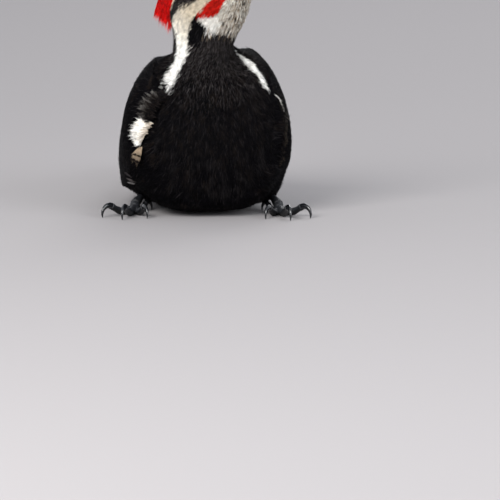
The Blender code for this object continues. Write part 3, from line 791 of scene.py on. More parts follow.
MALAR_FROM, BLACK_BEHIND_MALAR, BEHIND_HALF = 13.05, (11.6, 13.08), 0.344
CLEAR_HALF, CLEAR_TO, STREAKED_HALF, FRINGE_HALF, FRINGE_LONG = 0.395, 13.75, 0.385, 0.345, 0.6


def between(pairs, x):
    """The value at x on the line through pairs (x, value) in any order."""
    return np.interp(x, *zip(*sorted(pairs)))


def body_marks(t, u, rng, ragged=1.0):
    """(colour, second colour, share of it) of the plumage at each (t, u), with ragged edges."""
    n = len(t)
    t = t + np.clip(rng.normal(0, 0.09, n), -0.17, 0.17) * ragged
    left = u > 0.5
    half = np.where(left, 1 - u, u) + np.clip(rng.normal(0, 0.005, n), -0.009, 0.009) * ragged
    colour, second = np.tile(BLACK, (n, 1)), np.tile(SOOT, (n, 1))
    # up the neck and upper breast the second colour is dark grey strands, painted sheen of the feathers' tips, with
    # more of them towards the head
    second[t > PAINTED_SHEEN_FROM] = DUSK
    share = np.interp(t, [4, 7, PAINTED_SHEEN_FROM, 10.5, 12.5], [0.02, 0.04, 0.10, 0.36, 0.38])
    colour[rng.random(n) < np.interp(t, [5, 7.5, 10], [0.03, 0.14, 0.45])] = BROWN_BLACK

    def mark(where, first, other, part):
        colour[where], second[where], share[where] = first, other, part

    top, foot = (np.where(left, between(STRIPE["left"][k], t), between(STRIPE["right"][k], t)) for k in (0, 1))
    whiter = np.clip((12.9 - t) / 2.4, 0, 1)[:, None]
    pale = CREAM * (1 - whiter) + WHITE * whiter
    stripe = (half > top) & (half < foot) & (t > np.where(left, STRIPE["left"][2], STRIPE["right"][2]))
    mark(stripe, pale[stripe], pale[stripe] * 0.86, 0.25)

    flow = np.sin(330 * u + 5.0 * t) + 0.8 * np.sin(530 * u - 3.1 * t + 1.7) + 0.6 * np.sin(190 * u + 9.0 * t)
    flow = flow + rng.normal(0, 0.3, n) * ragged
    throat_end = between(THROAT_END, half) + 0.2 * np.clip(flow, -1, 1)
    below = half >= foot
    throat = below & (t > throat_end)
    mark(throat, THROAT, TAN, 0.12)
    clear = throat & (half < CLEAR_HALF) & (t < CLEAR_TO)
    mark(clear, WHITE * 0.80, THROAT, 0.4)
    streaked = throat & (half > STREAKED_HALF) & ~clear
    mark(streaked, THROAT * 1.12, TAN, 0.12)
    mark(streaked & (flow > 0.15), TAN, THROAT, 0.18)
    mark(streaked & (flow > 0.95), BROWN_BLACK, TAN, 0.2)
    fringe = below & ~throat & (t > throat_end - FRINGE_LONG) & (half > FRINGE_HALF) & (flow > 0.9)
    mark(fringe, BROWN_BLACK, TAN, 0.6)
    mark(below & (half < between(MALAR_FOOT, t)) & (t > MALAR_FROM), MALAR_RED, MALAR_RED * 0.6, 0.2)
    low, high = BLACK_BEHIND_MALAR
    mark(below & (half < BEHIND_HALF) & (t > low) & (t <= high), BLACK, SOOT, 0.06)

    mask_top = between(MASK_TOP, t)
    low, high = BROW_SPAN
    mark((half > mask_top - BROW) & (half <= mask_top) & (t > low) & (t < high), CREAM, TAN, 0.15)
    mark((half <= mask_top - BROW) & (t > CROWN_FROM), CREST_RED, CREST_RED * 0.6, 0.2)
    return colour, second, share


# ---- Skin and contour feathers ----

# how deep the coat is along the body
BODY_DEPTH = ([0, 2, 5, 8, 10, 12, 13.5, 15, 16, 17], [2.5, 3.0, 4.2, 3.8, 3.0, 2.6, 2.0, 1.5, 1.1, 0.7])


def make_skin(body, wings, thighs, crest):
    """One skin for the trunk, neck, head, crest, wings and thighs, under the coat, and replacing them."""
    bm = bmesh.new()
    past_body, near_crest, crest_above = 6.5, 3.2, 0.8
    # surface, t from, t to, rows, columns, how deep the skin lies under it along t
    for surface, first, last, rows, around, depth in (
        (body, 0.0, body.end, 150, 128, BODY_DEPTH),
        *((wing, 0.0, SKIN_WING_END, 80, 96, ([3.9, SKIN_WING_END], [1.35, 2.0])) for wing in wings),
        *((thigh, 0.0, 1.0, 30, 48, ([0], [2.2])) for thigh in thighs),
        (crest, 0.25, 5.35, 60, 64, ([0], [2.0])),
    ):
        t, u = grid(np.linspace(first, last, rows), np.arange(around) / around)
        at = surface.at(t, u)
        loft_into(bm, at[..., :3] - at[..., 3:6] * np.interp(t, *depth)[..., None])
    skin = remeshed("skin", bm, voxel=1.5, rounds=4)
    points = read(skin.data, "co") / MM - ORIGIN
    t, u, gap = body.nearest(points)
    tint, _, _ = body_marks(t, u, np.random.default_rng(2), ragged=0.0)
    tint[gap > past_body] = BLACK
    _, crest_u, crest_gap = crest.nearest(points)
    tint[(crest_gap < near_crest) & (crest_gap < gap) & (crest_u < crest_above)] = CREST_RED
    finished(skin, tint, "plumage_black", "skin")
    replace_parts(skin, "trunk", "neck", "head", "thigh_left", "thigh_right", "wing_left", "wing_right", "crest")


def wing_trees():
    meshes = [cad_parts[f"wing_{word}"].data for word, _ in SIDES]
    return [
        BVHTree.FromPolygons([v.co for v in mesh.vertices], [tuple(p.vertices) for p in mesh.polygons])
        for mesh in meshes
    ]


def clear_of(trees, points, normals, reach=16.0):
    """Which points don't lie well under a solid: a ray out from each misses them all."""

    def clear(point, normal):
        return all(tree.ray_cast(Vector(placed(point)), Vector(normal), reach * MM)[0] is None for tree in trees)

    return np.array([clear(*pair) for pair in zip(points, normals)])


def make_body_coat(body):
    """Contour feathers of the trunk, neck and head, from the tail to the bill."""
    rng = np.random.default_rng(11)
    trees = wing_trees()
    wings_reach, sooty_to, head_from, eyes_from, start_deep = 8.3, 7.5, 12.0, 13.0, 3
    # name, t from, t to, strands, ribbon width
    for name, low, high, strands, ribbon in (
        ("coat_rump", 0.0, 4.0, 9, 0.42),
        ("coat_belly", 4.0, 6.3, 10, 0.34),
        ("coat_breast", 6.3, 8.2, 9, 0.30),
        ("coat_shoulders", 8.2, 10.4, 8, 0.28),
        ("coat_neck", 10.4, 12.6, 7, 0.26),
        ("coat_cheeks", 12.6, 14.4, 7, 0.24),
        ("coat_face", 14.4, 17.0, 7, 0.19),
    ):
        t, u = scatter(body, (COAT_KNOTS, COAT_GAP), rng, (low, high))
        length = np.interp(t, COAT_KNOTS, COAT_LENGTH) * rng.normal(1, 0.1, len(t))
        turn = rng.normal(0, np.interp(t, [4, 6, 8, 9, 11, 12.6], [0.22, 0.22, 0.30, 0.36, 0.24, 0.10]), len(t))
        keep = np.ones(len(t), bool)
        if low < wings_reach:
            at = body.at(t, u)
            keep &= clear_of(trees, at[:, :3] - at[:, 3:6] * start_deep, at[:, 3:6])
        if high > eyes_from:
            keep &= (off_eyes(body.points(*lay_of(body, t, u, length, turn))) > LIDS).all(axis=1)
        t, u, length, turn = t[keep], u[keep], length[keep], turn[keep]
        way_t, way_u = lay_of(body, t, u, length * COAT_SEEN, turn)
        colour, second, share = body_marks(way_t[:, -1], way_u[:, -1] % 1, rng)
        loose = rng.random(len(t)) < np.interp(t, [3, 6, 8, 12], [0.12, 0.10, 0.08, 0.04])
        colour[loose & (t < sooty_to)] = SOOT * 0.55
        coat(
            name, body, t, u, (low, high), colour, rng, second, share,
            "plumage_head" if low > head_from else "plumage_black",
            length=length, width=np.interp(t, COAT_KNOTS, COAT_WIDTH), depth=np.interp(t, *BODY_DEPTH),
            strands=strands, turn=turn, lift=np.where(loose, rng.random(len(t)) * 1.4, 0.0), ribbon=ribbon,
        )


def make_eye_rings(body):
    """Short close feathers round the lids, pointing away from the eye and back."""
    rng = np.random.default_rng(15)
    span, ring, half_wide = (12.8, 16.6), 5.3, 0.95
    t, u = scatter(
        body, ([0], [0.42]), rng, span, wanted=lambda t, u: np.abs(off_eyes(body.points(t, u)) - ring) < half_wide
    )
    at = body.at(t, u)
    along, round_ = unit(at[:, 6:9]), unit(at[:, 9:12])
    away = np.zeros_like(along)
    for _, side in EYES:
        off, aside = off_eye(at[:, :3], side)
        away[off < FAR_OFF] = unit(aside)[off < FAR_OFF]
    way = 1.5 * away - along
    turn = np.arctan2((way * round_).sum(axis=1), -(way * along).sum(axis=1))
    colour, second, share = body_marks(t, u, rng)
    coat(
        "coat_eye_rings", body, t, u, span, colour, rng, second, share, "plumage_head",
        length=1.7 * rng.normal(1, 0.1, len(t)), width=0.8, depth=1.1, strands=5, turn=turn, ribbon=0.16,
    )


def make_bridges(body, wings, hull):
    """Loose feathers of the shoulders and flanks, over the hollows between the trunk and the folded wings."""
    rng = np.random.default_rng(17)
    hollow, rounds, facing_down, off_body = 0.9, 3, -0.93, 5
    places = hull.table[:, ::4, :3]
    gaps = [surface.nearest(places.reshape(-1, 3))[2] for surface in (body, *wings)]
    wide = np.min(gaps, axis=0).reshape(places.shape[:2]) > hollow
    for _ in range(rounds):
        spread = np.roll(wide, 1, 1) | np.roll(wide, -1, 1)
        spread[1:] |= wide[:-1]
        spread[:-1] |= wide[1:]
        wide = wide | spread

    def wanted(t, u):
        row = np.clip(np.round(t).astype(int), 0, len(wide) - 1)
        column = np.round((u % 1) * wide.shape[1]).astype(int) % wide.shape[1]
        at = hull.at(t, u, slice(0, 6))
        under = at[:, 5] < facing_down
        before_neck = (at[:, 1] < -22) & (at[:, 2] > 70)
        return wide[row, column] & ~under & ~before_neck

    for word, u_range in (("right", (0.0, 0.5)), ("left", (0.5, 1.0))):
        t, u = scatter(hull, ([0], [1.5]), rng, (0.0, hull.end), u_range, wanted)
        length = np.interp(t, [0, 50, 96], [18, 15, 10]) * rng.normal(1, 0.12, len(t))
        seen = hull.points(*(way[:, -1] for way in lay_of(hull, t, u, length * COAT_SEEN, 0.0)))
        body_t, body_u, off = body.nearest(seen)
        colour, second, share = body_marks(body_t, body_u, rng)
        away = off > off_body
        colour[away], second[away], share[away] = BLACK, SOOT, 0.06
        coat(
            f"coat_bridge_{word}", hull, t, u, (0.0, hull.end), colour, rng, second, share,
            length=length, width=4.6, depth=2.4, strands=10, turn=rng.normal(0, 0.2, len(t)),
            lift=np.where(rng.random(len(t)) < 0.1, rng.random(len(t)), 0.0), ribbon=0.36,
        )


def make_crest(crest):
    """Long silky red feathers swept back over the crown to a ragged point."""
    rng = np.random.default_rng(21)
    t, u = scatter(crest, ([0, 2, 5.6], [0.6, 0.85, 1.0]), rng, (0.0, 5.7), (0.0, 0.80))
    reach = length_of(crest.at(t, u, slice(6, 9)))
    room = (rng.normal(6.02, 0.12, len(t)) + 0.85 * np.abs(u / 0.4 - 1) ** 1.5 - t) * reach
    length = np.minimum(rng.normal(1, 0.12, len(t)) * np.interp(t, [0, 1, 3, 5.6], [5, 10, 17, 15]), room)
    colour = CREST_RED * rng.normal(1, 0.12, (len(t), 1))
    coat(
        "coat_crest", crest, t, u, (0.0, 7.0), colour, rng, CREST_RED * 0.55, 0.2, "plumage_red",
        length=np.maximum(length, 3.5), width=np.interp(t, [0, 2, 4, 5.6], [1.4, 2.6, 2.4, 1.7]),
        depth=np.interp(t, [0, 2, 7], [1.2, 2.2, 1.6]), strands=8, turn=rng.normal(0, 0.10, len(t)),
        ribbon=0.26, fray=0.2,
    )


def make_thigh_coats(thighs):
    rng = np.random.default_rng(31)
    for (word, _), thigh in zip(SIDES, thighs):
        t, u = scatter(thigh, ([0], [1.3]), rng, (0.25, 0.97))
        coat(
            f"coat_thigh_{word}", thigh, t, u, (0.0, 1.0), BLACK, rng, SOOT, 0.08,
            length=8.0 * rng.normal(1, 0.1, len(t)), width=3.0, depth=2.2, strands=8,
            turn=rng.normal(0, 0.2, len(t)), ribbon=0.32,
        )


def make_wing_coats(wings):
    """Coverts over the folded wings, in two sizes from the bend back."""
    rng = np.random.default_rng(41)
    for (word, _), wing, outside in zip(SIDES, wings, ((0.0, 0.56), (0.44, 1.0))):
        for part, low, high in (("lesser", 0.0, 1.9), ("median", 1.9, 5.0)):
            t, u = scatter(wing, ([0, 0.6, 2.5, 5], [0.95, 1.3, 2.0, 2.6]), rng, (low, high), outside)
            length = np.interp(t, [0, 0.6, 2.5, 4, 5.2], [5, 7.5, 13, 20, 22]) * rng.normal(1, 0.06, len(t))
            colour = np.where(rng.random((len(t), 1)) < 0.12, BROWN_BLACK, BLACK)
            coat(
                f"coat_wing_{word}_{part}", wing, t, u, (low, high), colour, rng, SOOT, 0.03, look="wing_coverts",
                length=length, width=np.interp(t, [0, 0.6, 2.5, 5], [2.6, 3.6, 6.2, 8.5]), depth=1.3, strands=13,
                turn=rng.normal(0, 0.06, len(t)), ribbon=0.48, fray=0.05, sink=0.5,
            )


# ---- Loose feathers and bristles ----


def along_line(points, share):
    """Points at the shares of the way along a line of points."""
    points = np.asarray(points, float)
    places = share * (len(points) - 1)
    return np.stack([np.interp(places, np.arange(len(points)), points[:, k]) for k in range(3)], -1)


def make_loose_feathers(body):
    """Ruffled feathers over the right wing's bend, the white lining below them, and the left wing's edge."""
    rng = np.random.default_rng(19)

    def group(name, count, roots, tips, normal, width, bow, colour, tip_colour, jitter, strands, ribbon, shorter,
              run=TO_TIPS, second=None, part=0.0):
        """Tufts from a line of roots to a line of tips. Those cut shorter lie deeper and keep their own colour."""
        share = np.clip((np.arange(count) + rng.random(count)) / count, 0, 1)
        start = along_line(roots, share) + rng.normal(0, jitter, (count, 3))
        end = along_line(tips, share) + rng.normal(0, jitter, (count, 3))
        back = shorter * rng.random(count)[:, None]
        end = end + (start - end) * back
        start = start + (start - end) * back * 0.4 - normal * back * 0.5
        normals = unit(normal + rng.normal(0, 0.12, (count, 3)))
        t, u, _ = body.nearest(start)
        made = free_tufts(start, end, normals, width, bow, rng, strands=strands, ribbon=ribbon, fray=0.2)
        tip_colour = tip_colour * (1 - back) ** 2.5 + colour * (1 - (1 - back) ** 2.5)
        coat_piece(name, made, t, u, (0.0, body.end), colour, rng, second, part, tip_colour, run)

    ahead_and_up, ahead, outwards = np.array([[-0.35, -0.9, 0.25], [-0.3, -0.95, 0.1], [0.75, -0.6, 0.2]])
    group(
        "ruffle_right", 130,
        [(-22.5, -42.5, 74.0), (-25.5, -42.5, 72.0), (-29.5, -42.0, 69.0), (-32.0, -41.0, 65.0),
         (-31.5, -41.0, 60.5)],
        [(-28.8, -40.0, 77.0), (-32.4, -39.0, 76.0), (-36.8, -37.0, 73.0), (-39.8, -35.0, 67.5),
         (-38.8, -36.0, 61.5)],
        ahead_and_up, 2.6, 1.6, BLACK, SOOT, 1.1, 10, 0.26, 0.85, (0, 0, 0.1, 0.2, 0.9), BROWN_BLACK, 0.5,
    )
    # the short curled tufts at the ruffle's edge get pale grey tips, painted highlights on their curls; the tufts
    # cut shorter lie deeper and get less of it
    count = 60
    highlight_tips = np.array([0.44, 0.415, 0.39]) * (0.05 + 0.95 * rng.random((count, 1)) ** 1.5)
    group(
        "ruffle_highlight_tips_right", count,
        [(-26.8, -42.6, 73.4), (-29.8, -42.4, 72.2), (-32.6, -41.6, 69.4), (-34.0, -40.9, 66.0),
         (-34.6, -40.4, 62.8), (-33.6, -40.6, 60.0)],
        [(-31.0, -39.8, 77.6), (-35.0, -38.4, 76.2), (-38.8, -36.4, 72.4), (-40.4, -35.4, 67.4),
         (-41.0, -35.0, 62.6), (-38.6, -36.6, 58.6)],
        ahead_and_up, 1.5, 2.6, BROWN_BLACK, highlight_tips, 1.0, 6, 0.2, 0.5, (0, 0, 0.08, 0.4, 1.0),
    )
    group(
        "underwing_lining_right", 95,
        [(-31.8, -41.2, 58.4), (-33.2, -40.6, 55.4), (-35.4, -39.6, 51.4), (-38.2, -38.0, 47.5)],
        [(-39.8, -36.4, 60.8), (-43.6, -34.2, 57.0), (-46.4, -32.6, 52.0), (-45.4, -33.0, 47.6),
         (-41.8, -35.6, 43.0)],
        ahead, 3.0, 0.8, TAN * 1.4, WHITE, 0.45, 9, 0.34, 0.22, (0.3, 0.3, 0.95, 0.95, 1.0), TAN * 0.5, 0.15,
    )
    roots = np.array([(-37.6, -38.4, 43.5), (-39.8, -37.2, 43.0)])
    way = np.array([(-40.2, -36.0, 32.4), (-44.8, -33.9, 34.6)]) - roots
    # the feather, then its two dark bars over it: from and to along it, how far ahead, width, colour
    for part, first, last, over, width, tone in (
        ("", 0.0, 1.0, 0.0, 2.4, TAN * 1.1),
        ("_bar", 0.42, 0.62, 0.35, 2.0, BROWN_BLACK * 1.6),
        ("_tip", 0.78, 0.94, 0.35, 2.0, BROWN_BLACK * 1.6),
    ):
        lift = np.array([0.0, -over, 0.0])
        group(
            f"barred_feather_right{part}", 22, roots + way * first + lift, roots + way * last + lift,
            ahead, width, 0.5, tone, tone * 0.75, 0.2, 9, 0.30, 0.2,
        )
    for part, outer, inner, tone in (
        (1, (-48.2, -16.5, 25.6), (-43.8, -19.5, 22.0), SOOT),
        (2, (-47.6, -16.5, 22.0), (-41.0, -19.5, 19.6), DUSK),
        (3, (-46.6, -16.5, 19.4), (-41.4, -19.0, 18.6), GREY * 0.5),
    ):
        group(
            f"wing_bar_right_{part}", 5, [outer, outer], [inner, inner], np.array([-0.2, -0.95, 0.2]), 0.7, 0.3,
            tone, tone, 0.25, 4, 0.3, 0.3,
        )
    group(
        "wing_edge_left", 30,
        [(39.6, -25.4, 74.0), (42.2, -23.8, 72.4), (44.4, -22.2, 69.0), (46.0, -21.6, 64.5)],
        [(41.4, -24.4, 72.4), (44.2, -22.4, 69.8), (46.0, -21.0, 65.6), (47.2, -20.8, 60.5)],
        outwards, 0.7, 0.4, WHITE * 0.8, FRINGE, 0.3, 3, 0.16, 0.6,
    )
    for part, rows, tone in (("upper", slice(0, 4), FRINGE * 0.6), ("lower", slice(2, 6), TAN * 0.6)):
        group(
            f"wing_fringe_left_{part}", 46,
            [(42.8, -25.6, 70.5), (45.4, -23.8, 64.0), (46.6, -23.0, 56.5), (46.2, -23.8, 48.5),
             (45.0, -23.6, 40.0), (43.0, -21.7, 31.0)][rows],
            [(45.6, -24.2, 66.5), (48.4, -21.8, 60.0), (49.5, -21.2, 52.5), (49.1, -22.2, 44.5),
             (47.6, -22.0, 36.5), (45.4, -19.8, 27.5)][rows],
            outwards, 1.8, 0.5, BLACK, tone, 0.8, 4, 0.22, 0.8, (0, 0, 0.05, 0.2, 0.9),
        )


def make_bristles(body):
    """Buff bristles over the nostrils and dark ones on the chin, pointing along the bill."""
    rng = np.random.default_rng(23)
    count = 150
    onward, up, right = HEAD_AXES

    def bristles(name, roots, tips, normals, pale, colour, dark, bow):
        chosen = rng.random((count, 1)) < pale
        t, u, _ = body.nearest(roots)
        made = free_tufts(roots, tips, unit(normals), 0.9, bow, rng, strands=5, ribbon=0.15, fray=0.25)
        coat_piece(name, made, t, u, (12.0, body.end), np.where(chosen, colour, dark), rng, slot="plumage_head")

    side = np.where(np.arange(count) % 2 == 0, 1.0, -1.0)
    down = rng.random(count)
    roots = head_point(14.2 + 2.6 * rng.random(count), 3.4 - 7.0 * down, side * (2.6 + 4.6 * np.sqrt(down)))
    reach = 4.5 + 2.5 * rng.random(count)
    tips = roots + onward * reach[:, None] - (side * (0.3 + 0.8 * down))[:, None] * right
    tips = tips + up * (-0.9 + 0.5 * down)[:, None]
    normals = up * (1.0 - 0.8 * down)[:, None] + right * (side * (0.2 + 0.8 * down))[:, None]
    pale = np.interp(down, [0.0, 0.3, 1.0], [0.25, 0.9, 0.95])[:, None]
    bristles("nasal_tufts", roots, tips, normals, pale, CREAM * 0.9, BROWN_BLACK, 0.5)

    across = rng.random(count) * 2 - 1
    roots = head_point(14.0 + 2.6 * rng.random(count), -11.6 + 5.4 * across**2, 6.6 * across)
    tips = roots + onward * (3.0 + 1.5 * rng.random(count))[:, None] + up * 1.3
    tips = tips - right * across[:, None]
    normals = -up * (1 - 0.6 * np.abs(across))[:, None] + right * across[:, None]
    bristles("chin_bristles", roots, tips, normals, 0.6, THROAT * 0.8, TAN * 0.6, 0.3)


# ---- Flight and tail feathers ----


def vane_plate(line, half_widths, up, across, thick=0.35, columns=9):
    """A feather's vane as a thin closed plate: points (rows, 2 * columns, 3) across its face and back below."""
    share = np.linspace(-1, 1, columns)
    top, bottom = [], []
    for k, (centre, half) in enumerate(zip(line, half_widths)):
        reach = half[0] * np.minimum(share, 0) + half[1] * np.maximum(share, 0)
        shaft = np.exp(-((share / 0.13) ** 2)) * 0.28 * min(1, half[1] / 3)
        curve = -0.35 * share**2
        row = centre + across[k] * reach[:, None] + up[k] * (shaft + curve)[:, None]
        top.append(row)
        bottom.append(row - up[k] * thick)
    return np.concatenate([np.array(top), np.array(bottom)[:, ::-1]], 1)


def plates_piece(name, plates):
    """Closed plates joined as one piece of flight feathers, with each plate in its own strip of the bake map."""
    faces, places = [], []
    start = 0
    for k, plate in enumerate(plates):
        rows, around = plate.shape[:2]
        root, tip = (end_face(start + row * around, around, around // 2 - 1) for row in (0, rows - 1))
        faces += [grid_faces(rows, around, start), root[:, ::-1], tip]
        v, w = grid(np.linspace(0, 1, rows), (np.arange(around) + 0.5) / around)
        places.append(np.stack([0.005 + v * 0.99, (k + 0.05 + 0.9 * w) / len(plates)], -1).reshape(-1, 2))
        start += rows * around
    points = np.concatenate([plate.reshape(-1, 3) for plate in plates])
    return mesh_piece(name, points, np.concatenate(faces), "flight_feathers", BLACK * 1.3, np.concatenate(places))


def make_flight_feathers():
    """Secondaries and primaries of the folded wings, overlapping from the upper edge down."""
    count, rows, start = len(FLIGHT_TIPS), 40, 3.6
    run = np.linspace(0, 1, rows)
    ending = np.sqrt(np.maximum(1 - np.maximum((run - 0.86) / 0.14, 0) ** 2.2, 0.0)) * 0.97 + 0.03
    for word, side in SIDES:
        plates = []
        for rank, tip in enumerate(FLIGHT_TIPS):
            middle = (rank + 0.45) / count
            s = np.linspace(start, tip, rows)
            point, normal, _ = wing_outside(s, middle, side)
            below, _, _ = wing_outside(s, middle + 0.05, side)
            across = unit(below - point)
            pitch = length_of(below - point) / 0.05 / count
            half = np.stack([pitch * 0.95 * ending, pitch * 0.70 * ending], 1)
            half = half * np.interp(s, [start, 4.7], [0.15, 1.0])[:, None]
            lift = np.interp(s, [start, 4.5, 5.3], [-1.8, -1.0, 1.0 - 0.16 * rank])[:, None]
            tilt = unit(normal + across * 0.10)
            plates.append(vane_plate(point + normal * lift, half, tilt, unit(across - tilt * 0.10)))
        plates_piece(f"flight_feathers_{word}", plates)


def make_tail():
    """Ten stiff pointed tail feathers, the middle pair longest and on top."""
    plates = []
    root = turned((0, TAIL_ROOT[0], 0))
    run = TAIL_TIP[0] - TAIL_ROOT[0]
    share = np.linspace(0, 1, 44)
    for rank in reversed(range(len(TAIL_EDGES) - 1)):
        inner, outer = TAIL_EDGES[rank : rank + 2]
        length = run - 3.0 * rank - 2.2 * rank**2
        along = length * share
        widening = np.sin(math.pi / 2 * np.minimum(along / TAIL_WIDENS_OVER, 1))
        wide = TAIL_HALF_ROOT + (TAIL_HALF_WIDE - TAIL_HALF_ROOT) * widening
        fall = TAIL_TIP[1] + (TAIL_ROOT[1] - TAIL_TIP[1]) * np.maximum(1 - along / run / TAIL_LANDS, 0) ** 1.4
        ending = np.clip((1 - share) / (TAIL_POINT * 1.8 / length), 0, 1) ** 0.7 * 0.97 + 0.03
        base = (outer - inner) / 2 * wide
        half = np.stack([base * (1.45 if rank else 1.15) * ending, base * 1.02 * ending], 1)
        for side in (1, -1):
            x = side * (inner + outer) / 2 * wide
            z = np.maximum(fall - TAIL_STEP * rank, 1.25 - 0.1 * rank + 0.05 * side) + 0.15
            line = root + turned(np.stack([x, along, z], -1), BODY_YAW - TAIL_YAW)
            onward = unit(np.gradient(line, axis=0))
            across = unit(np.cross(onward, UP)) * side * -1
            up = np.cross(onward, across) * side
            up = up * np.where(up[:, 2:] < 0, -1, 1)
            plates.append(vane_plate(line, half, up, across, thick=0.4))
    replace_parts(plates_piece("tail_feathers", plates), "tail")


# ---- Eyes and bill ----


def make_eyes():
    """Eyes with a black pupil, a golden iris and a dark rim, each turned a little ahead and up."""
    rows, around, pupil_to, iris_to, darkest = 60, 64, 20, 45, 0.002
    polar, angle = grid(np.linspace(0.02, math.pi - 0.02, rows), angles(around))
    radius = EYE_RADIUS * (1 + 0.03 * np.exp(-((polar / 0.55) ** 2)))
    rays = np.r_[np.random.default_rng(5).normal(0, 1, around), 0]
    streak = 1 + 0.16 * np.interp(angle, np.linspace(0, TURN, around + 1), rays)[..., None]
    degrees = np.degrees(polar)[..., None]
    golden = GOLD * streak * np.interp(degrees, [19, 30, 44], [0.75, 1.1, 0.8])
    tint = np.where(degrees > iris_to, EYE_RIM, np.where(degrees < pupil_to, PUPIL, golden))
    tint = np.clip(tint, darkest, 1).reshape(-1, 3)
    faces = grid_faces(rows, around)[:, ::-1]
    for word, side in EYES:
        points = on_eye(side, polar, angle, radius).reshape(-1, 3)
        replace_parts(mesh_piece(f"eyeball_{word}", points, faces, "eye", tint), f"eye_{word}")


def make_lids():
    """The bare ring of dark skin round each eye, with thick lids drawn to a point before and behind."""
    around, deep, opened, corners, covered = 72, 12, 46, 10, 92
    angle, share = grid(angles(around), np.linspace(0, 1, deep))
    opening = np.radians(opened + corners * np.abs(np.cos(angle)) ** 5)
    polar = opening + (np.radians(covered) - opening) * share
    radius = EYE_RADIUS * (1.012 + 0.065 * np.sin(math.pi * np.minimum(share * 2.6, 1)) + 0.02 * share)
    radius = radius + 0.06 * np.sin(angle * 24) * np.sin(math.pi * share)
    faces = [
        (i * deep + j, i * deep + j + 1, k * deep + j + 1, k * deep + j)
        for i, k in zip(range(around), [*range(1, around), 0])
        for j in range(deep - 1)
    ]
    for word, side in EYES:
        points = on_eye(side, polar, angle, radius).reshape(-1, 3)
        mesh_piece(f"eyelid_{word}", points, faces, "foot_skin", LID_GREY, look="orbital_skin")


def make_bill():
    """The two halves of the chisel bill, ridged along the culmen and over the nostril, with a groove between."""
    rows, count = 70, 49
    u = np.linspace(-1, 1, count)
    arch = 1 - np.abs(u) ** 1.55
    keel = np.exp(-((np.abs(u) - 0.62) / 0.10) ** 2)
    inner = 0.82 * u[::-1]
    # name, ridge, length, how far its edge is dropped, the keel's height, how much wider, how pale at the root
    for name, outer, length, drop, keel_rise, flare, paleness in (
        ("upper", CULMEN, 1.0, 0.0, 0.035, 0.02, 0.12),
        ("lower", GONYS, 0.972, -0.3, 0.0, 0.0, 0.9),
    ):
        share = np.linspace(0, length, rows)[:, None]
        edge = TOMIUM[0] + (TOMIUM[1] - TOMIUM[0]) * share + drop
        ridge = outer[0] + (outer[1] - outer[0]) * share**1.15
        half = BILL_HALF_WIDTH + (BILL_TIP_HALF_WIDTH - BILL_HALF_WIDTH) * share**0.8
        along = BILL_BASE + 0.3 + share * BILL_LENGTH
        fade = np.clip(1 - share / 0.75, 0, 1)
        rise = (ridge - edge) * (arch + keel * keel_rise * fade)
        top = head_point(along, edge + rise, half * u * (1 + flare * fade))
        floor = head_point(along, edge + np.sign(ridge - edge) * 0.45 * (1 - inner**2), half * inner)
        rings = np.concatenate([top, floor], 1)
        around = rings.shape[1]
        ends = [end_face(row * around, around, count - 1) for row in (0, rows - 1)]
        mix = np.clip(1.15 - share * 1.3, 0, 1)[..., None] * paleness
        tint = np.broadcast_to(SLATE * (1 - mix) + PALE_HORN * mix, rings.shape).reshape(-1, 3)
        faces = np.concatenate([grid_faces(rows, around), *ends])
        piece = mesh_piece(f"bill_{name}_horn", rings.reshape(-1, 3), faces, "bill_horn", tint)
        bm = bmesh.new()
        bm.from_mesh(piece.data)
        bmesh.ops.recalc_face_normals(bm, faces=bm.faces)
        bm.to_mesh(piece.data)
        bm.free()
        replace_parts(piece, f"bill_{name}")


# ---- Feet ----


def toe_line(side, turn, length, thick, rise, count=40):
    """(line, radii, direction) of a toe from the ball of the foot to its last joint."""
    angle = math.radians(turn)
    ahead = np.array([math.sin(angle) * side, -math.cos(angle), 0.0])
    foot = mirrored(FOOT_LEFT, side)
    heights = [(foot[2] - 1.6,), (thick + 0.3,), (thick - 0.35,), ((thick + rise) / 2 - 0.6,), (rise,)]
    share = np.linspace(0, 1, count)
    line = np.array([foot[0], foot[1], 0]) + np.outer(share * length, ahead)
    line[:, 2] += spline(heights, 4 * share)[:, 0]
    return line, thick * (1.06 - 0.16 * share), ahead


def claw_rings(start, ahead, onward, radius, count=26, sides=18):
    """Sections of a claw that bends down from the end of its toe until it meets the floor."""
    first = math.asin(onward[2])
    drop = (math.cos(first) - math.cos(first - CLAW_BEND)) / CLAW_BEND
    step = (start[2] + 0.3) / drop
    across = np.cross(ahead, UP)
    angle = angles(sides)
    point, rings = start, []
    for k in range(count):
        share = k / (count - 1)
        if k:
            heading = first - CLAW_BEND * (k - 0.5) / (count - 1)
            point = point + (ahead * math.cos(heading) + UP * math.sin(heading)) * step / (count - 1)
        heading = first - CLAW_BEND * share
        up = UP * math.cos(heading) - ahead * math.sin(heading)
        size = radius * 0.95 * (1 - share) ** 0.75 + 0.2
        rings.append(point + np.outer(np.cos(angle) * size * 0.72, across) + np.outer(np.sin(angle) * size, up))
    return np.array(rings)


def scutes(points, normals, lines):
    """How far each point of the foot's skin stands up, as a scute above or a granule below, and the scute alone."""
    scute_length, scute_high, granule_high, granules = 1.55, 0.30, 0.08, 5.0
    best, run = np.full(len(points), 1e9), np.zeros(len(points))
    for line, radii in lines:
        lengths = np.r_[0, np.cumsum(length_of(np.diff(line, axis=0)))]
        gap = length_of(points[:, None] - line)
        k = gap.argmin(axis=1)
        near = gap[np.arange(len(points)), k] - radii[k]
        ahead = unit(np.gradient(line, axis=0))[k]
        closer = near < best
        best[closer] = near[closer]
        run[closer] = (lengths[k] + ((points - line[k]) * ahead).sum(axis=1))[closer]
    scale = (run / scute_length) % 1
    above = np.clip(normals[:, 2] * 1.5 + 0.4, 0, 1)
    scute = (np.minimum(scale / 0.25, 1) * (1 - 0.5 * scale)) * above
    below = np.sin(run * granules) * np.sin(points[:, 0] * granules) * np.clip(-normals[:, 2], 0, 1)
    return (scute_high * (scute - 0.5) + granule_high * below)[:, None], scute[:, None]


